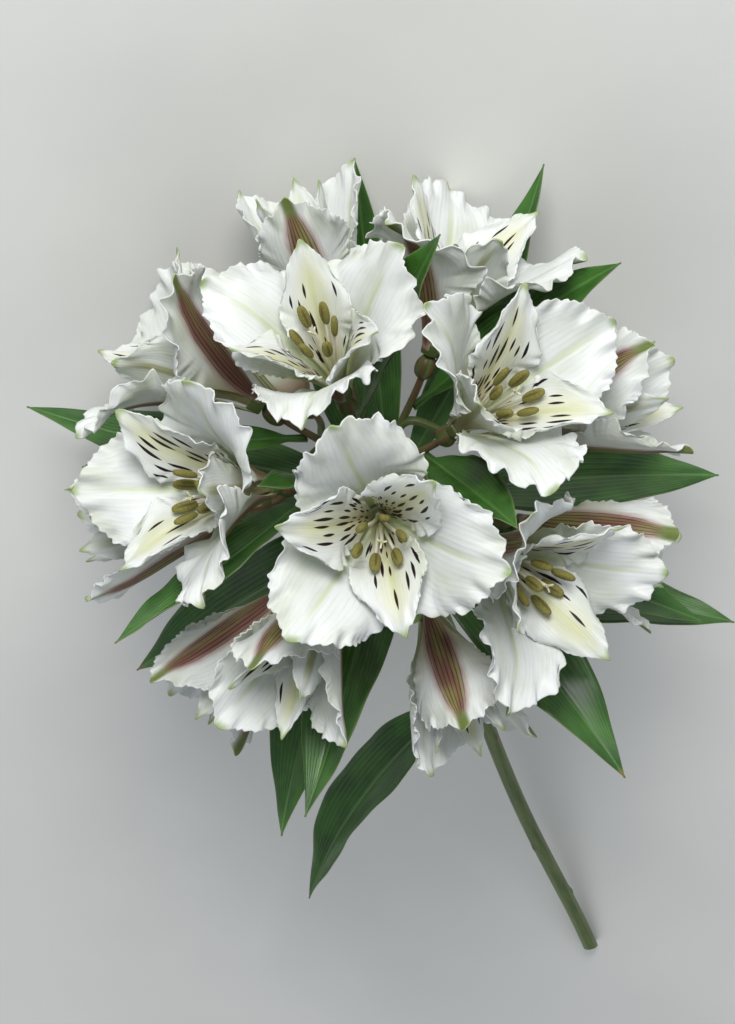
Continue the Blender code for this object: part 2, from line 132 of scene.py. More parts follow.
class Builder:
    """Collects surfaces with their finishes and their two sets of numbers, and makes one mesh of them."""

    def __init__(self):
        self.verts, self.quads, self.slots, self.place, self.kind = [], [], [], [], []
        self.count = 0

    def add(self, points, quads, slots, place, kind):
        """One surface. place and kind are spread over all of its points."""
        for kept, values in ((self.verts, points), (self.place, place), (self.kind, kind)):
            kept.append(np.broadcast_to(values, points.shape).reshape(-1, 3))
        self.quads.append(quads + self.count)
        self.slots.append(np.broadcast_to(slots, len(quads)))
        self.count += len(self.verts[-1])

    def blade(self, points, thickness, slots, place, kind):
        """A thin closed solid round a grid.

        The front face is the grid plus half the thickness along its normals, the back face is the grid
        minus it, and the rim joins the two outlines. slots numbers the finish of front, back and rim.
        """
        rows, columns = points.shape[:2]
        push = grid_normals(points) * np.broadcast_to(thickness, (rows, columns))[..., None] / 2
        count = rows * columns
        index = np.arange(count).reshape(rows, columns)
        loop = np.concatenate([index[0, :-1], index[:-1, -1], index[-1, :0:-1], index[:0:-1, 0]])
        after = np.roll(loop, -1)
        rim = np.stack([loop, after, after + count, loop + count], axis=-1)
        faces = [grid_quads(rows, columns), grid_quads(rows, columns, count)[:, ::-1], rim]
        slots = np.repeat(slots, [len(quads) for quads in faces])
        self.add(np.stack([points + push, points - push]), np.concatenate(faces), slots, place, kind)

    def rod(self, points, slot, place, kind, inward=False):
        """Rings of points, closed round. inward turns their faces the other way."""
        quads = ring_quads(*points.shape[:2])
        self.add(points, quads[:, ::-1] if inward else quads, slot, place, kind)

    def piece(self, name, finishes, place):
        """The mesh object, its points carried from the bloom's millimetres into the scene's metres."""
        turn = np.array(place)
        points = np.concatenate(self.verts) @ turn[:3, :3].T * MM + turn[:3, 3]
        quads = np.concatenate(self.quads)
        mesh = bpy.data.meshes.new(name)
        mesh.from_pydata(points, [], quads.tolist())
        mesh.polygons.foreach_set("material_index", np.concatenate(self.slots).astype(np.int32))
        mesh.polygons.foreach_set("use_smooth", np.ones(len(quads), bool))
        for label, values in (("place", self.place), ("kind", self.kind)):
            flat = np.concatenate(values).astype(np.float32).ravel()
            mesh.attributes.new(label, "FLOAT_VECTOR", "POINT").data.foreach_set("vector", flat)
        for finish in finishes:
            mesh.materials.append(finish)
        mesh.update()
        return put(name, mesh)


def tube(path, radii, sides):
    """The rings of a round tube along a path, closed at both ends.

    Each ring is a point of the path plus its radius times (cos, sin) in the plane across the path. One
    more ring of almost no radius closes each end.
    """
    heading = unit(np.gradient(path, axis=0))
    reference = np.eye(3)[np.argmin(np.abs(path[-1] - path[0]))]
    side = unit(np.cross(heading, reference))[:, None]
    other = np.cross(heading, side[:, 0])[:, None]
    clock = clock_angles(sides)[..., None]
    ring = side * np.cos(clock) + other * np.sin(clock)
    points = path[:, None] + ring * np.asarray(radii, float)[:, None, None]
    return np.concatenate([path[:1, None] + 0.001 * ring[:1], points, path[-1:, None] + 0.001 * ring[-1:]])


# %% [markdown]
# ## Finishes written as sums
# A petal's colour is arithmetic: how far from the midrib, how far along, is there a dash here. Wired by
# hand that is dozens of little nodes. The class below wraps a socket, so that ordinary Python operators add
# the Math nodes, and one method adds any other node.

# %% Sockets that can be reckoned with


def maths(operation, swapped=False):
    """A method that adds a Math node of its socket and others, the socket last where it is swapped."""
    def method(wire, *others):
        values = (*others, wire) if swapped else (wire, *others)
        return wire.finish.node("ShaderNodeMath", {"operation": operation}, dict(enumerate(values)))
    return method


class Wire:
    """An output socket that can be added, multiplied and compared."""

    def __init__(self, finish, socket):
        self.finish, self.socket = finish, socket

    __add__ = __radd__ = maths("ADD")
    __mul__ = __rmul__ = maths("MULTIPLY")
    __sub__, __rsub__ = maths("SUBTRACT"), maths("SUBTRACT", swapped=True)
    __truediv__, __rtruediv__ = maths("DIVIDE"), maths("DIVIDE", swapped=True)
    __pow__, __abs__ = maths("POWER"), maths("ABSOLUTE")
    floor, sine, most = maths("FLOOR"), maths("SINE"), maths("MAXIMUM")

    def ramp(self, low, high):
        """0 at low, 1 at high, smooth between. low may be above high."""
        inputs = {"Value": self, "From Min": low, "From Max": high}
        return self.finish.node("ShaderNodeMapRange", {"interpolation_type": "SMOOTHSTEP"}, inputs)


# %% A material round one shader


class Finish:
    """A material round one Principled shader, whose fixed numbers sit on its own sockets."""

    def __init__(self, name, **fixed):
        self.material = bpy.data.materials.new(name)
        self.material.use_nodes = True
        self.tree = self.material.node_tree
        for words, value in fixed.items():
            self.socket(words).default_value = value

    def socket(self, words):
        """The shader's socket of that name, written as in base_color."""
        name = words.replace("_", " ").title().replace("Ior", "IOR")
        return self.tree.nodes["Principled BSDF"].inputs[name]

    def node(self, kind, settings=None, inputs=None, out=0):
        """Adds a node: its settings first, then its inputs, which are values or wires."""
        made = self.tree.nodes.new(kind)
        for name, value in (settings or {}).items():
            setattr(made, name, value)
        for name, value in (inputs or {}).items():
            if isinstance(value, Wire):
                self.tree.links.new(value.socket, made.inputs[name])
            elif isinstance(value, tuple) and made.inputs[name].type == "RGBA":
                made.inputs[name].default_value = (*value, 1)
            else:
                made.inputs[name].default_value = value
        return Wire(self, made.outputs[out])

    def numbers(self, name):
        """The three numbers of a piece's own attribute."""
        vector = self.node("ShaderNodeAttribute", {"attribute_name": name}, out="Vector")
        return [self.node("ShaderNodeSeparateXYZ", {}, {0: vector}, out=k) for k in range(3)]

    def point(self, *place):
        return self.node("ShaderNodeCombineXYZ", {}, dict(enumerate(place)))

    def noise(self, *place, detail=2.0, scale=1.0, rough=0.5):
        """Soft noise at a place, given as up to three numbers or as one vector."""
        where = place[0] if len(place) == 1 else self.point(*place)
        inputs = {"Vector": where, "Scale": scale, "Detail": detail, "Roughness": rough}
        return self.node("ShaderNodeTexNoise", {"noise_dimensions": "3D"}, inputs)

    def chance(self, *place):
        """A number from 0 to 1 that differs from one whole-numbered place to the next."""
        inputs = {"Vector": self.point(*place)}
        return self.node("ShaderNodeTexWhiteNoise", {"noise_dimensions": "3D"}, inputs, out="Value")

    def layers(self, colour, *coats):
        """A colour under coats of others. A coat is its share, from 0 to 1, and its colour."""
        for part, above in coats:
            colour = self.node("ShaderNodeMix", {"data_type": "RGBA"}, {0: part, 6: colour, 7: above}, out=2)
        return colour

    def feed(self, **wires):
        for words, wire in wires.items():
            self.tree.links.new(wire.socket, self.socket(words))

    def bump(self, height, depth_mm, strength):
        """A Bump node on the shader's normal, the height's 0 to 1 standing for depth_mm."""
        inputs = {"Height": height, "Distance": depth_mm * MM, "Strength": strength}
        self.feed(normal=self.node("ShaderNodeBump", {}, inputs))


# %% [markdown]
# ## The lay of the stem
# These are the measures of the solid model. The umbel grows from its heart, and every bloom and leaf is
# named by two angles there: how far it leans from the stem's line, and where round that line it stands. The
# whole was then turned by a degree or two so that it rests on its cut end and on two low blooms.

# %% Measures of the stem, in millimetres
SEAT_GAP = 0.3
STEM_SLOPE = 10.0
HEART_HEIGHT = 58.0
REST_PITCH = 1.187
REST_ROLL = -4.320
REST_SHIFT = (9.54, 100.39, 4.31)
STEM_LENGTH = 305.0
STEM_RADIUS = 2.9
NECK_RADIUS = 2.5
CUT_SLANT = 0.8
RAY_RADIUS = 1.5
OVARY_LENGTH = 8.0
OVARY_RADIUS = 3.1

STEM_LINE = np.array([0.0, math.cos(math.radians(STEM_SLOPE)), math.sin(math.radians(STEM_SLOPE))])
STEM_TOP = np.array([0.0, -STEM_LINE[2], STEM_LINE[1]])
STEM_SIDE = np.array([1.0, 0.0, 0.0])
HEART = np.array([0.0, 0.0, HEART_HEIGHT])
LAY = (Matrix.Translation(Vector(REST_SHIFT) * MM)
       @ Matrix.Rotation(math.radians(REST_ROLL), 4, "Y")
       @ Matrix.Rotation(math.radians(REST_PITCH), 4, "X"))
print("stem line:", STEM_LINE.round(3))

# %% Where the blooms stand
# Polar is the angle from the stem's line and azimuth the angle round it, 0 up and 90 towards +X. Reach is
# the distance from the umbel's heart to the bloom's seat. The first bloom of a ray ends it, and the later
# ones fork from it.
Bloom = namedtuple("Bloom", "name polar azimuth reach size state ray")
BLOOMS = [Bloom(*row) for row in (
    ("bloom_01", 6, 10, 50, 1.01, "open", 0),
    ("bloom_02", 51, 12, 47, 1.10, "open", 1),
    ("bloom_03", 46, 72, 46, 1.06, "open", 2),
    ("bloom_04", 46, -50, 46, 1.08, "open", 3),
    ("bloom_05", 44, 132, 46, 1.04, "open", 4),
    ("bloom_06", 47, -112, 46, 1.06, "open", 5),
    ("bloom_07", 84, 44, 44, 1.06, "open", 2),
    ("bloom_08", 33, -172, 50, 1.02, "half", 0),
    ("bloom_09", 82, -18, 44, 1.08, "half", 1),
    ("bloom_10", 82, 96, 45, 1.06, "half", 4),
    ("bloom_11", 80, -80, 45, 1.08, "half", 5),
    ("bloom_12", 104, -49, 44, 1.04, "half", 3),
    ("bloom_13", 109, 15, 44, 0.99, "half", 1),
    ("bloom_14", 108, 72, 44, 1.02, "half", 2),
    ("bloom_15", 80, -142, 44, 1.04, "bud", 5),
    ("bloom_16", 79, 12, 36, 0.94, "bud", 1),
)]
FORWARD_POLAR = 20


def outward(polar, azimuth):
    """The direction from the heart at this angle from the stem's line and this angle round it."""
    lean, clock = math.radians(polar), math.radians(azimuth)
    across = math.cos(clock) * STEM_TOP + math.sin(clock) * STEM_SIDE
    return math.cos(lean) * STEM_LINE + math.sin(lean) * across


def towards(direction, top):
    """A turn whose Z points along direction and whose Y points as near to top as it can."""
    z = unit(direction)
    x = unit(np.cross(top, z))
    return Matrix(np.column_stack([x, np.cross(z, x), z]).tolist()).to_4x4()


def seat_of(bloom):
    """Where a bloom sits and the way it faces."""
    axis = outward(bloom.polar, bloom.azimuth)
    return HEART + axis * bloom.reach, axis


def bloom_place(bloom):
    """The matrix from a bloom's own millimetres, with its axis as Z, into the scene's metres.

    Its Y points forward along the stem, or up where the bloom itself faces forward.
    """
    seat, axis = seat_of(bloom)
    top = STEM_LINE if bloom.polar > FORWARD_POLAR else STEM_TOP
    return LAY @ Matrix.Translation(Vector(seat) * MM) @ towards(axis, top) @ Matrix.Scale(bloom.size, 4)


def stand_for(piece, node):
    """Hides the solid that the piece is the finer form of, and hangs it on the body of the whole stem."""
    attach(piece, "root")
    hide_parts(node)


print("blooms:", len(BLOOMS))

# %% [markdown]
# ## Leaves
# A leaf of this plant is a long lance with fine nerves that run from foot to tip. It is folded a little
# along the midrib, arched, and waved along both edges. A flat blade bent by a curve would keep its edges
# straight, so here the midrib is walked step by step and the blade is hung on it. Each leaf differs by a
# few random draws, the same ones that the solid model made.

# %% The leaf's surface
PETIOLE_HALF = 1.5
LEAF_TIP_HALF = 0.25
LEAF_PEAK = 0.45


def leaf_midrib(s, length, arch, swing):
    """The midrib, walked in equal steps while it tilts by arch and swings aside, and its two angles."""
    tilt, yaw = math.radians(arch) * s**1.4, math.radians(swing) * s**1.5
    rate = joined(np.cos(tilt) * np.cos(yaw), np.cos(tilt) * np.sin(yaw), np.sin(tilt))
    steps = np.cumsum((rate[1:] + rate[:-1]) / 2, axis=0)
    return np.concatenate([np.zeros((1, 3)), steps]) * length / (len(s) - 1), tilt[:, None], yaw[:, None]


def leaf_surface(root, direction, length, half, arch, draw, grid):
    """Points of a leaf, its two parameters and its half width at each row.

    The width is half times s^0.9 (1 - s)^1.1, scaled to 1 at its peak, but never under the petiole's.
    Across it the blade rises by |x| sin(fold), with a wave 1.3 v^2 sin(13 s) along each edge and a groove
    over the midrib.
    """
    s = np.linspace(0, 1, grid[0] + 1)
    midrib, tilt, yaw = leaf_midrib(s, length, arch, 16 * draw[0])
    s = s[:, None]
    v = np.linspace(-1, 1, grid[1] + 1)[None, :]
    blade = np.clip((s - 0.06) / 0.94, 0, 1)
    lance = blade**0.9 * (1 - blade) ** 1.1 / (LEAF_PEAK**0.9 * (1 - LEAF_PEAK) ** 1.1)
    petiole = np.interp(s, [0, 0.12, 1], [PETIOLE_HALF, PETIOLE_HALF, LEAF_TIP_HALF])
    width = np.maximum(petiole, half * lance)

    x = width * v
    fold = math.radians(16 + 6 * draw[1]) * smoothstep(0.02, 0.2, s)
    wave = 1.3 * v**2 * np.sin(13 * s + 2.5 * np.sign(v) + 3 * draw[3])
    ripple = 0.22 * v**4 * np.sin(41 * s + 4 * np.sign(v) + 9 * draw[1])
    groove = -0.35 * np.exp(-((x / 0.9) ** 2)) * smoothstep(0.1, 0.3, s) * smoothstep(1, 0.85, s)
    body = smoothstep(0.1, 0.4, s) * smoothstep(1, 0.8, s)
    raised, flat = np.abs(x) * np.sin(fold) + (wave + ripple) * body + groove, x * np.cos(fold)
    twist = math.radians(24 * draw[2]) * s**1.5
    across = flat * np.cos(twist) - raised * np.sin(twist)
    above = flat * np.sin(twist) + raised * np.cos(twist)
    local = joined(midrib[:, None, 0] - above * np.sin(tilt) - across * np.sin(yaw) * np.cos(tilt),
                   midrib[:, None, 1] + across * np.cos(yaw),
                   midrib[:, None, 2] + above * np.cos(tilt))
    start, side = unit(direction), unit(np.cross(direction, STEM_LINE))
    return root + local @ np.stack([start, side, np.cross(side, start)]), s, v, width


# %% [markdown]
# ### The two faces of a leaf
# Both faces carry the same nerves, about seven to each side of the midrib, as thin paler lines with finer
# ones between. On top there is wax over a dark green, and the lower face is paler and dull. The very edge
# is pale where the blade thins out. An image of a leaf would be stretched where the blade widens, so the
# nerves are worked out from the place across it.

# %% Leaf finishes
LEAF_EDGE = (0.20, 0.26, 0.09)
DRY_TIP = (0.30, 0.20, 0.06)


def leaf_face(name, deep, light, vein, rough, coat):
    finish = Finish(name, roughness=rough, coat_weight=coat, coat_roughness=0.18, subsurface_weight=0.08,
                    subsurface_radius=(0.6, 1.0, 0.3), subsurface_scale=0.0012)
    s, v, width = finish.numbers("place")
    seed, age, _ = finish.numbers("kind")
    x = v * width
    patch = finish.noise(s * 9 + seed * 17, x * 0.14, seed * 5, detail=3.0)
    strand = finish.noise(s * 7 + seed * 3, v * 42)
    nerve = (v * 46 + strand * 0.8).sine()
    fine = (v * 150 + strand * 3).sine()
    dry = (s + (patch - 0.5) * 0.16 + age * 0.06).ramp(0.995, 1.05)
    colour = finish.layers(
        deep, (patch.ramp(0.25, 0.75), light), (nerve.ramp(0.80, 1.0) * (strand * 0.5 + 0.2), vein),
        (abs(x).ramp(0.7, 0.15) * 0.55, vein), (abs(v).ramp(0.955, 0.995) * 0.6, LEAF_EDGE), (dry, DRY_TIP))
    finish.feed(base_color=colour, roughness=patch * 0.16 + (rough - 0.08) + dry * 0.2)
    finish.bump(nerve * 0.45 + fine * 0.18 + strand * 0.4 + abs(x).ramp(1.1, 0.3) * 1.2, 0.13, 0.55)
    return finish.material


LEAF_UPPER = leaf_face("leaf_upper", deep=(0.018, 0.080, 0.008), light=(0.052, 0.180, 0.018),
                       vein=(0.14, 0.30, 0.08), rough=0.36, coat=0.30)
LEAF_UNDER = leaf_face("leaf_under", deep=(0.050, 0.115, 0.030), light=(0.100, 0.195, 0.052),
                       vein=(0.16, 0.27, 0.10), rough=0.55, coat=0.0)
print("nodes in a leaf's finish:", len(LEAF_UPPER.node_tree.nodes))

# %% [markdown]
# ### Every leaf in its place
# Leaves on the stem leave it a hair's breadth off its skin. The small ones stand on the rays of the umbel,
# at a place along the ray and a clock angle round it. So the lines of the stem and the rays come first.

# %% The lines of stem and rays
FORK_AT = 2


def stem_radius(back):
    return NECK_RADIUS + (STEM_RADIUS - NECK_RADIUS) * back / STEM_LENGTH


def ray_radius(place):
    return RAY_RADIUS * (1 - 0.25 * place)


def stem_point(back):
    """A point of the stem's line, back millimetres behind the heart, with its slight swing to the side."""
    part = np.asarray(back, float)[..., None] / STEM_LENGTH
    return HEART - STEM_LINE * part * STEM_LENGTH + STEM_SIDE * 2.2 * np.sin(8 * part) * part


def ray_path(start, heading, end, axis, points=5):
    """A cubic curve from start, leaving along heading, to end, where it arrives along the bloom's axis."""
    t = np.linspace(0, 1, points)[:, None]
    reach = np.linalg.norm(end - start)
    a, b = start + heading * reach * 0.4, end - axis * reach * 0.35
    return (1 - t) ** 3 * start + 3 * (1 - t) ** 2 * t * a + 3 * (1 - t) * t**2 * b + t**3 * end


def ray_lines(points):
    """Every bloom's ray, from the heart or from its fork, and each ray's first line in five points."""
    lines, coarse = [], {}
    for bloom in BLOOMS:
        seat, axis = seat_of(bloom)
        end = seat - axis * (OVARY_LENGTH * bloom.size + SEAT_GAP - 1.5)
        if bloom.ray in coarse:
            first = coarse[bloom.ray]
            start, heading = first[FORK_AT], unit(first[FORK_AT + 1] - first[FORK_AT - 1])
        else:
            start, heading = HEART - STEM_LINE * 2, unit(STEM_LINE + 0.6 * axis)
        coarse.setdefault(bloom.ray, ray_path(start, heading, end, axis))
        lines.append(ray_path(start, heading, end, axis, points))
    return lines, coarse


RAY_LINES, MAIN_RAYS = ray_lines(28)
print("rays:", len(MAIN_RAYS), "and their forks:", len(RAY_LINES) - len(MAIN_RAYS))

# %% The leaves that grow on the stem
# Whorl first: name, distance behind the heart, polar angle, azimuth, length, half width and the arch over
# the length in degrees.
LEAVES = (
    ("leaf_01", 9, 98, -12, 106, 14.0, -12),
    ("leaf_02", 13, 114, 42, 112, 14.5, -12),
    ("leaf_03", 9, 106, 102, 106, 14.0, -8),
    ("leaf_04", 13, 113, -36, 110, 13.9, -14),
    ("leaf_05", 17, 110, -82, 112, 14.0, -10),
    ("leaf_06", 9, 96, -106, 124, 15.0, -5),
    ("leaf_07", 5, 76, -104, 122, 11.5, 0),
    ("leaf_08", 17, 117, 76, 104, 13.5, -12),
    ("leaf_09", 5, 66, 135, 114, 9.6, 22),
    ("leaf_10", 9, 56, 178, 110, 9.5, 36),
    ("leaf_11", 13, 62, -161, 95, 10.3, 43),
    ("leaf_12", 64, 92, 84, 98, 13.0, -24),
    ("leaf_13", 118, 112, -66, 100, 13.5, -26),
)
LEAF_GRID = (96, 14)
LEAF_SEEDS = 40
LEAF_THICK = 0.55


def grow_leaf(node, root, polar, azimuth, length, half, arch, seed, grid):
    """One leaf as a piece that stands for its node, from the seed that the solid model drew it with.

    The normals of a leaf's grid point down, so its front face is the leaf's lower one.
    """
    draw = np.random.default_rng(seed).uniform(-1, 1, 4)
    points, s, v, width = leaf_surface(root, outward(polar, azimuth), length, half, arch, draw, grid)
    thick = LEAF_THICK * (1 - 0.45 * np.abs(v) ** 3) + 0.5 * (1 - smoothstep(0, 0.12, s))
    leaf = Builder()
    leaf.blade(points, thick, (1, 0, 1), joined(s, v, width), (seed / 100, draw[2], 0))
    stand_for(leaf.piece("blade_" + node, [LEAF_UPPER, LEAF_UNDER], LAY), node)


for number, (node, back, polar, azimuth, *form) in enumerate(LEAVES, 1):
    root = stem_point(back) + outward(90, azimuth) * (stem_radius(back) + SEAT_GAP)
    grow_leaf(node, root, polar, azimuth, *form, LEAF_SEEDS + number, LEAF_GRID)
print("leaves on the stem:", len(LEAVES))

# %% The small leaves on the rays
# Name, ray, place along it (0 to 1) and clock angle round it, then as for the leaves.
BRACTS = (
    ("bract_01", 1, 0.29, 331, 43, -23, 84, 9.5, 8),
    ("bract_02", 2, 0.71, 222, 63, 32, 84, 9.1, 0),
    ("bract_03", 3, 0.73, 159, 87, -48, 82, 9.0, 4),
    ("bract_04", 4, 0.73, 312, 67, 109, 82, 9.3, -1),
    ("bract_05", 5, 0.76, 85, 59, -71, 76, 8.0, -5),
    ("bract_06", 0, 0.83, 303, 33, 109, 80, 9.5, 1),
)
BRACT_GRID = (70, 10)
BRACT_SEEDS = 60
BRACT_RISE = 0.2


def bract_foot(ray, place, clock):
    """Where a small leaf's foot lies on its ray."""
    path = MAIN_RAYS[ray]
    at = place * (len(path) - 1)
    k = min(int(at), len(path) - 2)
    centre, along = path[k] + (path[k + 1] - path[k]) * (at - k), unit(path[k + 1] - path[k])
    side = unit(np.cross(along, STEM_SIDE))
    turn = math.radians(clock)
    off = math.cos(turn) * side + math.sin(turn) * np.cross(along, side)
    return centre + off * (ray_radius(place) + SEAT_GAP + BRACT_RISE)


for number, (node, ray, place, clock, *form) in enumerate(BRACTS, 1):
    grow_leaf(node, bract_foot(ray, place, clock), *form, BRACT_SEEDS + number, BRACT_GRID)
print("leaves on the rays:", len(BRACTS))

# %% [markdown]
# ## The green stem
# Stem, rays and ovaries grew as one. The stem is a fleshy green rod with a few faint ribs and a small scar
# where each lower leaf was stripped. The blade cut its end at a slant, which shows the paler pith. The rays
# flush reddish brown towards the flowers, and each ovary is a small ribbed urn. A curve with a bevel would
# do for a plain rod. Rings of points can also swell at the scars and lean over at the cut.

# %% Finishes of the stem
SKIN_DEEP, SKIN_LIGHT = (0.070, 0.115, 0.026), (0.135, 0.190, 0.050)
SKIN_STREAK = (0.20, 0.235, 0.075)
RAY_FLUSH = (0.170, 0.062, 0.035)
SCAR_BROWN = (0.16, 0.085, 0.030)
PITH_DEEP, PITH_LIGHT = (0.36, 0.42, 0.17), (0.55, 0.58, 0.30)
PITH_RIM = (0.15, 0.22, 0.06)


def stem_skin():
    finish = Finish("stem_skin", roughness=0.42, coat_weight=0.15, coat_roughness=0.25,
                    subsurface_weight=0.12, subsurface_radius=(0.7, 1.0, 0.3), subsurface_scale=0.0015)
    along, clock, _ = finish.numbers("place")
    flush, scar, seed = finish.numbers("kind")
    patch = finish.noise(along * 0.05, clock * 1.4, seed * 7, detail=3.0, scale=1.3)
    streak = finish.noise(along * 0.08, clock * 7, seed, detail=3.0)
    red = (flush * 1.15 + (streak - 0.5) * 0.9).ramp(0.25, 0.95)
    colour = finish.layers(
        SKIN_DEEP, (patch.ramp(0.3, 0.7), SKIN_LIGHT), (streak.ramp(0.52, 0.72) * 0.5, SKIN_STREAK),
        (red * 0.85, RAY_FLUSH), (scar.ramp(0.35, 0.8), SCAR_BROWN))
    finish.feed(base_color=colour, roughness=streak * 0.25 + 0.30)
    finish.bump(streak + patch * 0.5, 0.12, 0.7)
    return finish.material


def cut_pith():
    finish = Finish("cut_pith", roughness=0.5, coat_weight=0.4, coat_roughness=0.15, subsurface_weight=0.3,
                    subsurface_radius=(1.0, 1.0, 0.5), subsurface_scale=0.002)
    _, clock, radius = finish.numbers("place")
    cells = finish.noise(clock.sine() * radius, (clock + 1.571).sine() * radius, scale=1.6)
    rim = radius.ramp(2.2, 2.7)
    finish.feed(base_color=finish.layers(PITH_DEEP, (cells.ramp(0.35, 0.65), PITH_LIGHT), (rim, PITH_RIM)))
    finish.bump(cells, 0.1, 0.6)
    return finish.material


STEM_SKIN, CUT_PITH = stem_skin(), cut_pith()
print("nodes in the stem's finish:", len(STEM_SKIN.node_tree.nodes))

# %% The surfaces of stem, cut and ovaries
STEM_RINGS, STEM_SIDES = 220, 24
OVARY_RINGS, OVARY_SIDES = 25, 36
RIBS = 8
SCAR_RISE = 0.55
FIRST_SCAR, LAST_SCAR = 34, STEM_LENGTH - 12
NODE_SPACING = 38.0
GOLDEN_ANGLE = 137.5


def axis_surface():
    """The stem from its cut to the heart.

    Each ring is stem_point(back) plus a radius times (cos, sin) of the clock angle. The radius has eight
    low ribs and a bump at each scar. Towards the cut the rings lean over by the slant.
    """
    back, clock = np.linspace(STEM_LENGTH, 0, STEM_RINGS)[:, None], clock_angles(STEM_SIDES)
    base = stem_radius(back)
    scar = 0
    for k, at in enumerate(np.arange(FIRST_SCAR, LAST_SCAR, NODE_SPACING)):
        aside = np.angle(np.exp(1j * (clock - math.radians(GOLDEN_ANGLE * k)))) * base
        scar = scar + np.exp(-(((back - at) / 2.0) ** 2) - (aside / 1.2) ** 2)
    radius = base * (1 + 0.018 * np.cos(RIBS * clock)) + SCAR_RISE * scar
    across = np.cos(clock)[..., None] * STEM_TOP + np.sin(clock)[..., None] * STEM_SIDE
    slant = CUT_SLANT * smoothstep(STEM_LENGTH - 10, STEM_LENGTH, back) * radius * np.cos(clock)
    return stem_point(back) + across * radius[..., None] + STEM_LINE * slant[..., None], back, clock, scar


def cut_surface(rim):
    """The cut end: rings drawn in from the stem's first one to its middle, and how far out each lies."""
    centre = stem_point(STEM_LENGTH)
    points = rim + (centre - rim) * np.array([0, 0.12, 0.4, 0.7, 0.998])[:, None, None]
    return points, np.linalg.norm(points - centre, axis=-1)


def ovary_surface(bloom):
    """The urn under a bloom: a half-round profile with six ribs, deepest at its middle."""
    seat, axis = seat_of(bloom)
    deep = OVARY_LENGTH * bloom.size / 2
    axes = np.array(towards(axis, STEM_TOP))[:3, :3]
    angle, clock = np.linspace(0, np.pi, OVARY_RINGS)[:, None], clock_angles(OVARY_SIDES)
    ribs = 1 + 0.07 * np.cos(6 * clock) * np.sin(angle)
    ring = OVARY_RADIUS * bloom.size * np.maximum(np.sin(angle), 0.002) ** 0.8 * ribs
    local = rings(ring, clock, -deep * np.cos(angle))
    return seat - axis * (deep + SEAT_GAP) + local @ axes.T, angle, clock


# %% Stem, rays and ovaries in one piece
RAY_SIDES = 12
SKIN, PITH = 0, 1

green = Builder()
points, back, clock, scar = axis_surface()
green.rod(points, SKIN, joined(back, clock, 0), joined(0.10, scar, 0.3))
face, reach = cut_surface(points[:1])
green.rod(face, PITH, joined(0, clock, reach), (0, 0, 0), inward=True)
for k, (bloom, path) in enumerate(zip(BLOOMS, RAY_LINES)):
    place = np.linspace(0, 1, len(path))
    flush = np.concatenate([[0], place, [1]])[:, None] * 0.75
    where = joined(flush * 50, clock_angles(RAY_SIDES), 0)
    green.rod(tube(path, ray_radius(place), RAY_SIDES), SKIN, where, joined(flush, 0, k / 9))
    grid, angle, clock = ovary_surface(bloom)
    ribbed = joined(0.45 + 0.35 * np.cos(6 * clock), 0, k / 9)
    green.rod(grid, SKIN, joined(angle * 3, clock, 0), ribbed)
piece = green.piece("green_stem", [STEM_SKIN, CUT_PITH], LAY)
stand_for(piece, "stem")
print("stem:", len(piece.data.polygons), "faces")

# %% [markdown]
# ## Tepals
# An alstroemeria has six tepals in two whorls. The outer three are broad, with a frilled edge, and carry a
# keel on their back. The inner three are narrower and pointed, and painted inside. A tepal's midrib leans
# out more and more from claw to tip. Each cross-section is an arc about the midrib, and the edge is longer
# than the blade needs, so it has to ruffle: coarse waves first, then finer ones, then teeth. Cloth
# simulation can ruffle an edge too, but it would not keep to the shape of the solid underneath.

# %% Measures of the tepals
# One row for each kind of tepal: length, greatest half width, then the lean from the bloom's axis at the
# claw, half way and tip in degrees, the cross curvature there in 1/mm, the height of its waves, and the
# turn about the midrib that lays one edge over the next tepal.
TEPALS = {
    "open_outer": dict(length=54, half=19.5, lean=(18, 35, 58), cup=(0.20, 0.036, 0.004), wave=3.0, turn=7),
    "open_inner": dict(length=51, half=11.5, lean=(10, 25, 44), cup=(0.26, 0.052, 0.008), wave=1.8, turn=6),
    "half_outer": dict(length=50, half=17.0, lean=(21, 22, 16), cup=(0.22, 0.066, 0.045), wave=1.6, turn=6),
    "half_inner": dict(length=47, half=8.2, lean=(8, 13, 14), cup=(0.28, 0.140, 0.070), wave=0.7, turn=12),
}
CLAW_RADIUS = {"outer": 2.6, "inner": 1.6}
CLAW_HALF = {"outer": 1.6, "inner": 1.1}
CLAW_HEIGHT = 1.2
TIP_SHARE = {"outer": 0.78, "inner": 0.55}
TIP_BOW = {"outer": 0.20, "inner": 0.17}
TIP_POINT = 2.4
TEPAL_GRID = {"outer": (96, 46), "inner": (72, 32)}
TEPAL_THICK = 0.42
FRILL = {"open_outer": 1.35, "open_inner": 0.60, "half_outer": 0.95, "half_inner": 0.30}
TOOTH = {"outer": 0.40, "inner": 0.18}
WAVES, TEETH, PLEATS = 4, 56, 11
FRILLS = (17, 29)
MIDRIB_STEPS, TIP_STEP = 89, 80

# %% The flat outline of a tepal and its midrib


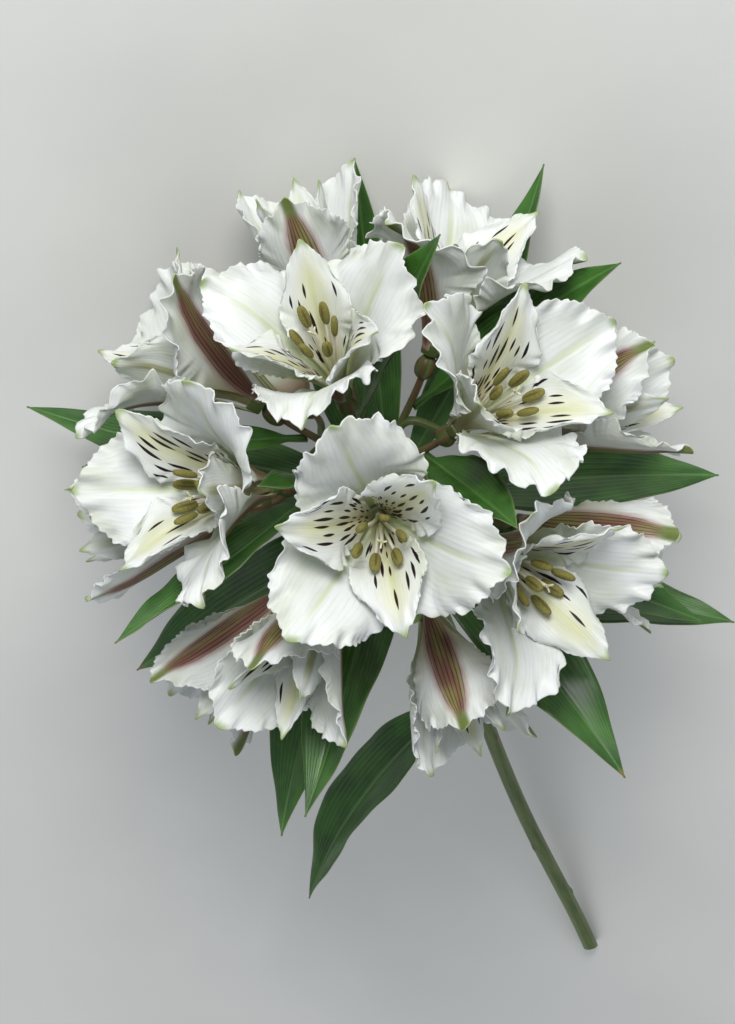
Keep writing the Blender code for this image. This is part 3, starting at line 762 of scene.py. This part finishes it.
def tepal_outline(shape, whorl, draw, u, v):
    """Half width, place along the midrib, share across, clock and edge for every point of the blade.

    The blade widens, tapers to its tip share, bows back beside the tip and has a small point at its middle.
    clock is the angle round the blade's middle, and edge is 1 at the outline and 0 well inside it. The
    teeth, a sine of TEETH times the clock, push the outline in and out in the blade's own plane.
    """
    length, half = shape["length"], shape["half"] * (1 + 0.05 * draw[0])
    taper = 1 - (1 - TIP_SHARE[whorl]) * smoothstep(0.70, 1.0, u) ** 1.2
    width = CLAW_HALF[whorl] + (half - CLAW_HALF[whorl]) * smoothstep(0.02, 0.68, u) * taper
    bow = TIP_BOW[whorl] * smoothstep(0.40, 1.0, u) * v**2
    along = u - bow + TIP_POINT / length * np.exp(-((v / 0.16) ** 2)) * u**10
    clock = np.arctan2(v * half, (along - 0.5) * length)
    edge = 1 - (1 - np.abs(v) ** 5 * smoothstep(0.22, 0.5, u)) * (1 - smoothstep(0.82, 1.0, u))
    tooth = TOOTH[whorl] * edge * np.sin(TEETH * clock + 2 * np.sin(5 * clock + 5 * draw[3]))
    tooth = tooth * (1 - np.exp(-((v / 0.12) ** 2)))
    return width, along + tooth / length * np.cos(clock), v + tooth / width * np.sin(clock), clock, edge


def tepal_midrib(shape, whorl, draw):
    """The midrib's steps, how far out and up it is at each, and its lean there.

    Out and up are the running sums of (sin, cos) of a lean that passes from claw to middle to tip. They go
    a tenth of the length further, because the tip's point and its teeth reach beyond it.
    """
    steps = np.linspace(0, 1.1, MIDRIB_STEPS)
    claw, middle, tip = shape["lean"]
    tip = tip + 7 * draw[1]
    lean = np.radians(claw + (middle - claw) * smoothstep(0, 0.5, steps)
                      + (tip - middle) * smoothstep(0.5, 1.0, steps))
    stride = shape["length"] * steps[1]
    out = CLAW_RADIUS[whorl] + np.concatenate([[0], np.cumsum(np.sin(lean[:-1]) * stride)])
    up = CLAW_HEIGHT + np.concatenate([[0], np.cumsum(np.cos(lean[:-1]) * stride)])
    return steps, out, up, lean


for kind, shape in TEPALS.items():
    _, out, up, _ = tepal_midrib(shape, kind[5:], np.zeros(6))
    print(kind, "tip:", out[TIP_STEP].round(1), "mm out,", up[TIP_STEP].round(1), "mm up")

# %% The ruffled surface of a tepal


def walked(rate, v):
    """The running sum of a rate over v, starting from the midrib."""
    total = np.cumsum((rate[:, 1:] + rate[:, :-1]) / 2 * np.diff(v, axis=1), axis=1)
    total = np.concatenate([np.zeros_like(total[:, :1]), total], axis=1)
    middle = rate.shape[1] // 2
    return total - total[:, middle:middle + 1]


def ruffle(kind, draw, u, v, width, clock, edge):
    """How far each point is pushed inwards: waves and frills round the clock, pleats and a groove along."""
    rim = 1 - (1 - np.abs(v) ** 3 * smoothstep(0.25, 0.65, u)) * (1 - 0.7 * smoothstep(0.72, 1, u))
    wave = TEPALS[kind]["wave"] * rim * np.sin(WAVES * clock + 3 * draw[4])
    frill = np.sin(FRILLS[0] * clock + 9 * draw[0]) + 0.45 * np.sin(FRILLS[1] * clock + 7 * draw[1])
    pleat = 0.45 * np.sin(PLEATS * v + 5 * draw[3]) * v**2 * smoothstep(0.30, 0.75, u)
    groove = 0.5 * np.exp(-((v * width / 1.3) ** 2)) * smoothstep(0.1, 0.3, u) * smoothstep(1, 0.8, u)
    return wave + FRILL[kind] * (edge * frill + pleat) - groove


def tepal_surface(kind, whorl, draw):
    """Points of one tepal, with X away from the bloom's axis, Y across and Z along the axis.

    Across the midrib the blade turns by cup times the distance, plus a roll near the edges. The running
    sums of the cosine and the sine of that turn are how far across and how far inwards it has gone.
    """
    shape = TEPALS[kind]
    rows, columns = TEPAL_GRID[whorl]
    u = np.linspace(0, 1, rows + 1)[:, None] ** 0.85
    v = np.sin(1.2 * np.linspace(-1, 1, columns + 1))[None, :] / math.sin(1.2)
    width, along, toothed_v, clock, edge = tepal_outline(shape, whorl, draw, u, v)
    steps, *lines = tepal_midrib(shape, whorl, draw)
    radius, height, angle = (np.interp(along, steps, line) for line in lines)

    claw, middle, tip = shape["cup"]
    cup = claw + (middle - claw) * smoothstep(0, 0.4, u) + (tip - middle) * smoothstep(0.5, 1, u)
    roll = np.where(v > 0, draw[2], draw[3]) * 0.55 * np.abs(v) ** 3 * smoothstep(0.4, 0.9, u)
    bend = cup * width * v + np.sign(v) * roll + math.radians(shape["turn"]) * smoothstep(0.1, 0.5, u)
    beside = np.abs(v) > 1e-6
    stretch = np.where(beside, toothed_v / np.where(beside, v, 1), 0)
    across = walked(np.cos(bend) * width, v) * stretch
    inward = walked(np.sin(bend) * width, v) + ruffle(kind, draw, u, v, width, clock, edge)
    return joined(radius - inward * np.cos(angle), across, height + inward * np.sin(angle)), u, v, width


def turned(points, degrees):
    """Points turned about Z."""
    a = math.radians(degrees)
    turn = np.array([[math.cos(a), -math.sin(a), 0], [math.sin(a), math.cos(a), 0], [0, 0, 1]])
    return points @ turn.T


# %% [markdown]
# ### Paint of the tepals
# The petal itself is white, with faint nerves and green along the midline. Towards the throat it turns
# green, partly the throat's own colour and partly painted shade, since the claws lie deep in the bloom. The
# dark dashes lie on lines of equal share across the blade, so they fan out as the blade widens, and each
# stands in its own cell along the line, longer or shorter or missing by chance. Painted by hand they would
# need an image, which blurs near by. The keel on the back is a long ellipse: a pinkish mauve border, a brown
# and olive middle, and dark nerves in it.

# %% The ground that all petals share
PETAL_WHITE = (0.80, 0.83, 0.82)
PETAL_SHADE = (0.52, 0.56, 0.42)
# Green of the throat and the midline. Laid on towards the claw it is partly painted shade.
THROAT_GREEN_AND_SHADE = (0.50, 0.58, 0.24)
TIP_GREEN = (0.24, 0.34, 0.08)


def petal(name):
    return Finish(name, roughness=0.55, specular_ior_level=0.35, subsurface_weight=0.40,
                  subsurface_radius=(1.0, 1.0, 0.8), subsurface_scale=0.0010)


def petal_ground(finish, u, v, width, seed):
    """White with green towards the claw, partly its own colour and partly painted shade, faint nerves
    and a green point. Also gives the nerves.
    """
    strand = finish.noise(u * 5 + seed * 3, v * 16, seed, detail=3.0)
    nerve = (v * 74 + strand * 5).sine()
    cloud = finish.noise(u * 3, v * 1.6, seed * 11)
    midline = abs(v * width).ramp(1.5, 0.2) * u.ramp(0.96, 0.70)
    point = u.ramp(0.955, 1.0) * abs(v * width).ramp(2.4, 0.5)
    colour = finish.layers(
        PETAL_WHITE, (cloud.ramp(0.38, 0.75) * 0.55, PETAL_SHADE),
        (nerve.ramp(0.3, 1.0) * strand.ramp(0.35, 0.7) * 0.30, PETAL_SHADE), (midline * 0.45, THROAT_GREEN_AND_SHADE),
        # Green towards the claw: partly the claw's own colour, partly painted shade deep in the bloom.
        (u.ramp(0.60, 0.04) * 0.75, THROAT_GREEN_AND_SHADE), (point * 0.85, TIP_GREEN))
    return colour, nerve, strand


def petal_relief(finish, u, v, nerve, strand):
    """Low relief: fine nerves, soft uneven strands and a fine crinkle."""
    crinkle = finish.noise(v * 9, u * 9, 4.0, detail=4.0, rough=0.6)
    finish.bump(nerve * 0.14 + strand * 0.7 + crinkle * 1.1, 0.20, 0.55)


# %% Dashes inside the inner tepals
DASH_COLOUR = (0.014, 0.003, 0.006)
STRIPE_YELLOW = (0.66, 0.64, 0.30)
THROAT_BLUSH = (0.62, 0.32, 0.26)
DASHED_LENGTH = 49
LONG_MARKS = dict(share=0.20, cell=10.5, longest=5.0, half_width=0.48, low=0.26, high=0.90, side=0.80)
FLECKS = dict(share=0.17, cell=5.2, longest=2.2, half_width=0.28, low=0.14, high=0.46, side=0.85)


def dashes(finish, u, v, width, seed, many, share, cell, longest, half_width, low, high, side):
    """1 on a pointed dash and 0 beside it.

    Lines run every share of the half width. A line is cut into cells of that many millimetres, shifted by
    chance. A cell between low and high, and not out at the side, holds a dash of up to the longest half
    length, or stays empty: many is the share that is filled. The seed is made a whole number, because the
    chances differ at the least change of it.
    """
    key = (seed * 7 + 0.5).floor()
    line = (v / share + 0.5).floor()
    aside = abs(v - line * share) * width
    shift = finish.chance(line, key, 1.5)
    mm = u * DASHED_LENGTH / cell + shift
    at = mm.floor()
    along = (mm - at - 0.5) * cell
    luck = finish.chance(line, at, key + 3.5)
    size = finish.chance(line, at, key + 8.5)
    centre = (at + 0.5 - shift) * (cell / DASHED_LENGTH)
    allowed = centre.ramp(low - 0.04, low + 0.08) * centre.ramp(high + 0.06, high - 0.10)
    allowed = allowed * abs(line * share).ramp(side + 0.15, side - 0.15)
    here = (allowed * many * 1.05 - luck).ramp(0.219, 0.221)
    half_length = size * (longest * 0.55) + longest * 0.45
    lens = (1.0 - (along / half_length) ** 2.0) * half_width * (size * 0.35 + 0.75)
    return (lens - aside).ramp(-0.05, 0.07) * here


def inside_finish(name, painted):
    """The face that looks into the bloom, with the dashes on the inner tepals."""
    finish = petal(name)
    u, v, width = finish.numbers("place")
    seed, many, _ = finish.numbers("kind")
    colour, nerve, strand = petal_ground(finish, u, v, width, seed)
    rough = strand * 0.2 + 0.36
    if painted:
        stripe = abs(v).ramp(0.62, 0.10) * u.ramp(0.10, 0.45) * u.ramp(0.99, 0.80)
        throat = u.ramp(0.55, 0.25) * abs(v).ramp(1.0, 0.4)
        long_marks = dashes(finish, u, v, width, seed, many, **LONG_MARKS)
        marks = long_marks.most(dashes(finish, u, v, width, seed + 4, many, **FLECKS))
        colour = finish.layers(
            colour, (stripe * 0.45, STRIPE_YELLOW), (throat * 0.30, THROAT_BLUSH), (marks, DASH_COLOUR))
        rough = rough + marks * 0.1
    finish.feed(base_color=colour, roughness=rough)
    petal_relief(finish, u, v, nerve, strand)
    return finish.material


# %% The keel on the outer tepals' backs
MAROON = (0.050, 0.010, 0.013)
KEEL_BORDER = (0.370, 0.190, 0.185)
KEEL_BROWN = (0.205, 0.092, 0.064)
OLIVE_GOLD = (0.260, 0.235, 0.078)
KEEL_TIP = (0.17, 0.22, 0.06)
BACK_BLUSH = (0.40, 0.20, 0.18)
MIDLINE_OLIVE = (0.33, 0.30, 0.12)
KEEL_MIDDLE, KEEL_REACH, KEEL_HALF = 0.49, 0.455, 4.8


def keel(finish, u, x, seed, colour):
    """The long ellipse on an outer tepal's back. Returns the colour with it, and its nerves."""
    offset = (u - KEEL_MIDDLE) / KEEL_REACH
    half_band = (1.0 - offset * offset).most(0.0) ** 0.5 * KEEL_HALF
    inside = half_band - abs(x)
    grain = finish.noise(u * 9, x * 0.9, seed * 7)
    cast = finish.noise(u * 2.2, x * 0.22, seed * 13, detail=1.0)
    border = (inside + (grain - 0.5) * 1.6).ramp(-2.0, 0.9) * 0.70
    middle = (inside + (grain - 0.5) * 0.9).ramp(-0.2, 1.9) * 0.95
    lane = x / half_band.most(0.5) * 3.6 + (grain - 0.5) * 0.25
    nerve = abs(lane - (lane + 0.5).floor()).ramp(0.22, 0.06) * inside.ramp(0.0, 1.0)
    tip = u.ramp(0.86, 0.95) * abs(x).ramp(2.8, 1.0)
    brown = finish.layers(KEEL_BROWN, (cast.ramp(0.40, 0.62), OLIVE_GOLD))
    dark = nerve * (grain * 0.9 + 0.30)
    colour = finish.layers(colour, (border, KEEL_BORDER), (middle, brown), (dark, MAROON), (tip, KEEL_TIP))
    return colour, nerve


def outside_finish(name, keeled):
    """The face that looks away from the bloom."""
    finish = petal(name)
    u, v, width = finish.numbers("place")
    seed, _, _ = finish.numbers("kind")
    colour, nerve, strand = petal_ground(finish, u, v, width, seed)
    colour = finish.layers(colour, (u.ramp(0.55, 0.05) * 0.55, BACK_BLUSH))
    if keeled:
        colour, dark = keel(finish, u, v * width, seed, colour)
        nerve = nerve - dark * 2.5
    else:
        band = abs(v * width).ramp(1.8, 0.5) * u.ramp(0.97, 0.75)
        colour = finish.layers(colour, (band * 0.6, MIDLINE_OLIVE))
    finish.feed(base_color=colour, roughness=strand * 0.2 + 0.38)
    petal_relief(finish, u, v, nerve, strand)
    return finish.material


TEPAL_FINISHES = [inside_finish("outer_tepal_inside", False), outside_finish("outer_tepal_back", True),
                  inside_finish("inner_tepal_inside", True), outside_finish("inner_tepal_back", False)]
print("nodes in the tepals' finishes:", [len(finish.node_tree.nodes) for finish in TEPAL_FINISHES])

# %% [markdown]
# ### Six tepals to a bloom
# All three inner tepals are painted, the lowest with fewer dashes. The six claws stand on a short green
# seat, the receptacle. A bloom could be one tepal copied six times, but on a real one no two are alike, so
# each is worked out from draws of its own.

# %% Tepals of the open and the half-open blooms
WHORLS = (("outer", 90), ("outer", 210), ("outer", 330), ("inner", 30), ("inner", 150), ("inner", 270))
FRONT_FINISH = {"outer": 0, "inner": 2}
SEAT_FINISH = 4
LOWEST_INNER = 5
FEW_DASHES = 0.62
CUP_HEIGHT = 4.0
RECEPTACLE_RADII = (2.9, 3.5)
RECEPTACLE_SIDES = 24


def draws_of(number):
    """The random numbers that the solid model drew for this bloom."""
    return np.random.default_rng(number).uniform(-1, 1, (6, 6))


def receptacle_surface():
    """The seat of the claws: a round rod that widens upwards, rounded at both rims, with six soft ribs."""
    girth = np.array([0.01, 0.8, 0.97, 1.0, 1.0, 0.95, 0.5, 0.01])[:, None]
    share = np.array([0.0, 0.0, 0.02, 0.10, 0.90, 1.0, 1.02, 1.02])[:, None]
    clock = clock_angles(RECEPTACLE_SIDES)
    low, high = RECEPTACLE_RADII
    ring = girth * (low + (high - low) * share) * (1 + 0.05 * np.cos(6 * clock))
    return rings(ring, clock, CUP_HEIGHT * share)


def grow_tepals(number, bloom):
    """All tepals of a bloom and their seat, as one piece."""
    petals = Builder()
    for k, ((whorl, clock), draw) in enumerate(zip(WHORLS, draws_of(number))):
        points, u, v, width = tepal_surface(f"{bloom.state}_{whorl}", whorl, draw)
        thick = TEPAL_THICK * (1 - 0.35 * np.abs(v) ** 2) + 0.35 * (1 - smoothstep(0, 0.25, u))
        front = FRONT_FINISH[whorl]
        kind = (number + k / 7, FEW_DASHES if k == LOWEST_INNER else 1.0, 0)
        petals.blade(turned(points, clock), thick, (front, front + 1, front), joined(u, v, width), kind)
    petals.rod(receptacle_surface(), SEAT_FINISH, (30, 1, 0), (0.30, 0, number / 9))
    piece = petals.piece(f"petals_{bloom.name}", [*TEPAL_FINISHES, STEM_SKIN], bloom_place(bloom))
    stand_for(piece, bloom.name + "_tepals")
    return piece


flowers = [grow_tepals(n, bloom) for n, bloom in enumerate(BLOOMS, 1) if bloom.state != "bud"]
print("tepal faces:", sum(len(piece.data.polygons) for piece in flowers))

# %% [markdown]
# ## Buds
# A bud is three outer tepals wrapped round each other into a pointed egg. Each keel makes a low ridge, and
# one edge of each tepal shows as a seam that winds a little round the bud. Nothing of the inside shows, so
# one closed skin is enough, and the ridges and seams are small changes of its girth.

# %% Buds
BUD_LENGTH = 34.0
BUD_RADIUS = 6.8
BUD_RINGS, BUD_SIDES = 91, 72
BUD_WHITE, BUD_GREEN = (0.72, 0.76, 0.62), (0.60, 0.68, 0.42)
BUD_KEEL = (0.30, 0.33, 0.11)
BUD_FOOT = (0.36, 0.20, 0.12)


def bud_finish():
    finish = petal("bud_skin")
    along, clock, _ = finish.numbers("place")
    streak = finish.noise(along * 3, clock * 3, detail=3.0)
    band = ((clock * 3).sine() + along * 0.15 + (streak - 0.5) * 0.35).ramp(0.45, 0.95)
    nerve = (clock * 33 + streak * 2).sine().ramp(0.1, 0.9) * band
    colour = finish.layers(
        BUD_WHITE, (streak.ramp(0.35, 0.7) * 0.5, BUD_GREEN), (band * 0.85, BUD_KEEL), (nerve * 0.8, MAROON),
        (along.ramp(0.30, 0.02) * 0.8, BUD_FOOT), (along.ramp(0.86, 0.98), TIP_GREEN))
    finish.feed(base_color=colour, roughness=streak * 0.2 + 0.36)
    finish.bump(nerve * 0.5 + streak, 0.14, 0.7)
    return finish.material


def bud_surface():
    """An egg whose girth is sin(angle) times (1.12 - 0.5 along), with three keels and three seams."""
    angle, clock = np.linspace(0.001, np.pi - 0.001, BUD_RINGS)[:, None], clock_angles(BUD_SIDES)
    along = (1 - np.cos(np.pi * (1 - np.cos(angle)) / 2)) / 2
    girth = BUD_RADIUS * np.sin(angle) * (1.12 - 0.5 * along) * (1 + 0.07 * np.cos(3 * clock - np.pi / 2))
    lap = (3 * clock / (2 * np.pi) + 0.1 + 0.35 * along) % 1.0
    girth = girth * (1 + 0.05 * (lap**2 - 0.3) * smoothstep(1, 0.93, lap) * smoothstep(0.05, 0.3, along))
    return rings(girth, clock + 0.25 * along, BUD_LENGTH * along), along, clock, girth


BUD_SKIN = bud_finish()
points, *place = bud_surface()
for bloom in (bloom for bloom in BLOOMS if bloom.state == "bud"):
    bud = Builder()
    bud.rod(points, 0, joined(*place), (0, 0, 0))
    piece = bud.piece("wrapped_" + bloom.name, [BUD_SKIN], bloom_place(bloom))
    stand_for(piece, bloom.name + "_tepals")
    print(piece.name, [round(side * 1000) for side in piece.dimensions], "mm")

# %% [markdown]
# ## Stamens
# Six stamens stand in each open bloom, on pale filaments that bow outwards, each with a large olive anther
# that splits along a groove. The style ends in three short lobes. In a half-open bloom they are still
# gathered into a bundle. They are made of the same rings as the stem, thin tubes for the threads and a
# spindle for the anther, whose grain is relief in its finish.

# %% Stamen finishes
THREAD_FOOT, THREAD_PALE = (0.55, 0.58, 0.30), (0.74, 0.74, 0.62)
THREAD_PINK = (0.55, 0.28, 0.25)
POLLEN_DEEP, POLLEN_LIGHT = (0.150, 0.135, 0.026), (0.340, 0.305, 0.075)
GROOVE_DARK = (0.055, 0.040, 0.015)


def filament_finish():
    finish = petal("filament")
    along, clock, _ = finish.numbers("place")
    streak = finish.noise(along * 4, clock)
    pale, pink = along.ramp(0.2, 0.9), streak.ramp(0.45, 0.7) * 0.35
    finish.feed(base_color=finish.layers(THREAD_FOOT, (pale, THREAD_PALE), (pink, THREAD_PINK)))
    finish.bump(streak, 0.05, 0.5)
    return finish.material


def anther_finish():
    finish = Finish("anther", roughness=0.75, subsurface_weight=0.05, subsurface_scale=0.001)
    along, clock, groove = finish.numbers("place")
    grain = finish.noise(along * 22, clock * 5, detail=3.0, rough=0.7)
    dark = groove.ramp(0.3, 0.9) * 0.7
    colour = finish.layers(POLLEN_DEEP, (grain.ramp(0.35, 0.7), POLLEN_LIGHT), (dark, GROOVE_DARK))
    finish.feed(base_color=colour, roughness=grain * 0.2 + 0.62)
    finish.bump(grain, 0.25, 0.9)
    return finish.material


STAMEN_FINISHES = [filament_finish(), anther_finish()]
print("stamen finishes:", [finish.name for finish in STAMEN_FINISHES])

# %% Anthers and threads
ANTHER_HALF = (1.65, 1.25, 4.1)
ANTHER_RINGS, ANTHER_SIDES = 21, 20
THREAD_POINTS = 18
THREAD_FINISH, ANTHER_FINISH = 0, 1


def anther(builder, centre, along, outer):
    """A spindle along that direction: radius sin(angle)^0.7, with a groove down each of two sides."""
    axes = np.array(towards(along, outer))[:3, :3]
    angle, clock = np.linspace(0.02, np.pi - 0.02, ANTHER_RINGS)[:, None], clock_angles(ANTHER_SIDES)
    groove = np.exp(-((np.sin(clock) / 0.35) ** 2)) * np.sin(angle)
    ring = np.sin(angle) ** 0.7 * (1 - 0.22 * groove)
    wide, thick, long = ANTHER_HALF
    local = joined(-wide * ring * np.sin(clock), thick * ring * np.cos(clock), -long * np.cos(angle))
    place = joined(angle / np.pi, clock, groove)
    builder.rod(centre + local @ axes.T, ANTHER_FINISH, place, (0, 0, 0))


def thread(builder, start, end, radii, bow=(0, 0, 0), sides=6):
    """A filament: a line from start to end pushed aside by bow times sin(pi t), with a tapering radius."""
    t = np.linspace(0, 1, THREAD_POINTS)[:, None]
    path = start + (end - start) * t + bow * np.sin(np.pi * t)
    grid = tube(path, radii[0] + (radii[1] - radii[0]) * t[:, 0], sides)
    place = np.concatenate([[0], t[:, 0], [1]])[:, None]
    builder.rod(grid, THREAD_FINISH, joined(place, clock_angles(sides), 0), (0, 0, 0))


# %% Stamens of each bloom
STAMEN_FOOT = CUP_HEIGHT + SEAT_GAP
STAMEN_REACH = 33.0
STAMEN_SPREAD = 6.2
BOSS_HEIGHT = 1.4
BUNDLE_REACH = 24.0
BUNDLE_RADIUS = 1.55


def compass(number):
    """Where the stamen of that number points, of six, seen along the bloom's axis."""
    clock = math.radians(60 * number)
    return np.array([math.cos(clock), math.sin(clock), 0])


def spread_stamens(builder, draws):
    """A style with three lobes on a small boss, and six stamens that lean out from the boss."""
    foot = np.array([0, 0, STAMEN_FOOT])
    boss = foot + [0, 0, BOSS_HEIGHT]
    tip = np.array([0.6, -0.35 * STAMEN_SPREAD, STAMEN_REACH - 2])
    thread(builder, foot, tip, (0.75, 0.5), np.array([0, -0.6, 0]), 8)
    for k in range(3):
        lobe = np.array([math.cos(2.1 * k), math.sin(2.1 * k), 0.9]) * 1.5
        thread(builder, tip - [0, 0, 0.3], tip + lobe, (0.4, 0.25), np.array([0, 0, 0.2]))
    thread(builder, foot, boss + [0, 0, 1.1], (1.1, 1.0), sides=12)
    for k in range(6):
        height = STAMEN_REACH - 6 + 6 * (0.5 + 0.5 * draws[k][5])
        end = (compass(k) - [0, 0.35, 0]) * STAMEN_SPREAD + [0, 0, height]
        bow = -0.5 * unit([*(end - boss)[:2], 0.001]) * [1, 1, 0]
        thread(builder, boss, end, (0.62, 0.45), bow, 8)
        anther(builder, end, end - boss, compass(k) + [0, 0, 0.3])


def gathered_stamens(builder, draws):
    """Six stamens that stand close round the style."""
    foot = np.array([0, 0, STAMEN_FOOT])
    for k in range(6):
        aside = compass(k) * BUNDLE_RADIUS
        centre = aside + [0, 0, BUNDLE_REACH - 3 + 2 * draws[k][5]]
        thread(builder, foot + aside * 0.3, centre, (0.5, 0.42))
        anther(builder, centre, (0, 0, 1), compass(k) + [0, 0, 0.3])
    thread(builder, foot, np.array([0, 0, BUNDLE_REACH]), (0.8, 0.6))


for number, bloom in enumerate(BLOOMS, 1):
    if bloom.state == "bud":
        continue
    threads = Builder()
    fill = spread_stamens if bloom.state == "open" else gathered_stamens
    fill(threads, draws_of(number))
    piece = threads.piece(f"threads_{bloom.name}", STAMEN_FINISHES, bloom_place(bloom))
    stand_for(piece, bloom.name + "_stamens")
print("faces in the last bloom's stamens:", len(piece.data.polygons))

# %% [markdown]
# ## Floor, light and camera
# The stem lies on a pale floor. White petals show their form only by shading, so the light must not come
# from the camera. A wide soft light stands low beyond the head of the umbel and grazes the petals, and a
# weak one fills in from the other side. The camera looks down on the umbel through a long lens.

# %% Floor
FLOOR_SHADE, FLOOR_PALE = (0.76, 0.76, 0.735), (0.86, 0.86, 0.825)
FLOOR_HALF = 3


def floor_finish():
    finish = Finish("floor", roughness=0.8)
    cloud = finish.noise(finish.node("ShaderNodeTexCoord", out="Object"), detail=4.0, scale=5.0)
    finish.feed(base_color=finish.layers(FLOOR_SHADE, (cloud.ramp(0.3, 0.7), FLOOR_PALE)))
    return finish.material


corners = [(x * FLOOR_HALF, y * FLOOR_HALF, 0) for x, y in ((-1, -1), (1, -1), (1, 1), (-1, 1))]
floor_mesh = bpy.data.meshes.new("floor")
floor_mesh.from_pydata(corners, [], [(0, 1, 2, 3)])
floor_mesh.materials.append(floor_finish())
floor = put("floor", floor_mesh)
print("floor:", 2 * FLOOR_HALF, "m wide")

# %% Camera
CAMERA_TURN = 165.0
CAMERA_LIFT = 50.0
CAMERA_FAR = 0.95
CAMERA_AIM = (-0.0055, 0.079, 0.050)
CAMERA_LENS = 102.0

turn, lift = math.radians(CAMERA_TURN), math.radians(CAMERA_LIFT)
backward = Vector((math.sin(turn) * math.cos(lift), -math.cos(turn) * math.cos(lift), math.sin(lift)))
right = Vector((-math.cos(turn), -math.sin(turn), 0))
facing = Matrix((right, backward.cross(right), backward)).transposed().to_4x4()
camera = put("camera", bpy.data.cameras.new("camera"))
camera.data.lens = CAMERA_LENS
camera.matrix_world = Matrix.Translation(Vector(CAMERA_AIM) + backward * CAMERA_FAR) @ facing
bpy.context.scene.camera = camera
print("camera at:", [round(place, 3) for place in camera.matrix_world.translation])

# %% Lights
SKY_COLOUR = (0.80, 0.85, 0.92, 1)
SKY_STRENGTH = 0.30


def softbox(name, place, aim, size, power, colour):
    """A round area light at place that faces aim."""
    data = bpy.data.lights.new(name, "AREA")
    data.shape = "DISK"
    data.size, data.energy, data.color = size, power, colour
    facing = (Vector(place) - Vector(aim)).to_track_quat("Z", "Y").to_matrix().to_4x4()
    put(name, data).matrix_world = Matrix.Translation(place) @ facing


softbox("key", place=(0.26, 1.20, 0.66), aim=(0, 0.08, 0.06), size=0.60, power=14.2,
        colour=(1.0, 0.99, 0.97))
softbox("fill", place=(-0.35, -0.75, 0.95), aim=(-0.02, -0.16, 0), size=1.1, power=3.4,
        colour=(0.96, 0.98, 1.0))
world = bpy.data.worlds.new("studio")
world.use_nodes = True
world.node_tree.nodes["Background"].inputs["Color"].default_value = SKY_COLOUR
world.node_tree.nodes["Background"].inputs["Strength"].default_value = SKY_STRENGTH
bpy.context.scene.world = world
bpy.context.scene.view_settings.view_transform = "Standard"
print("lights:", len(bpy.data.lights), "view:", bpy.context.scene.view_settings.view_transform)
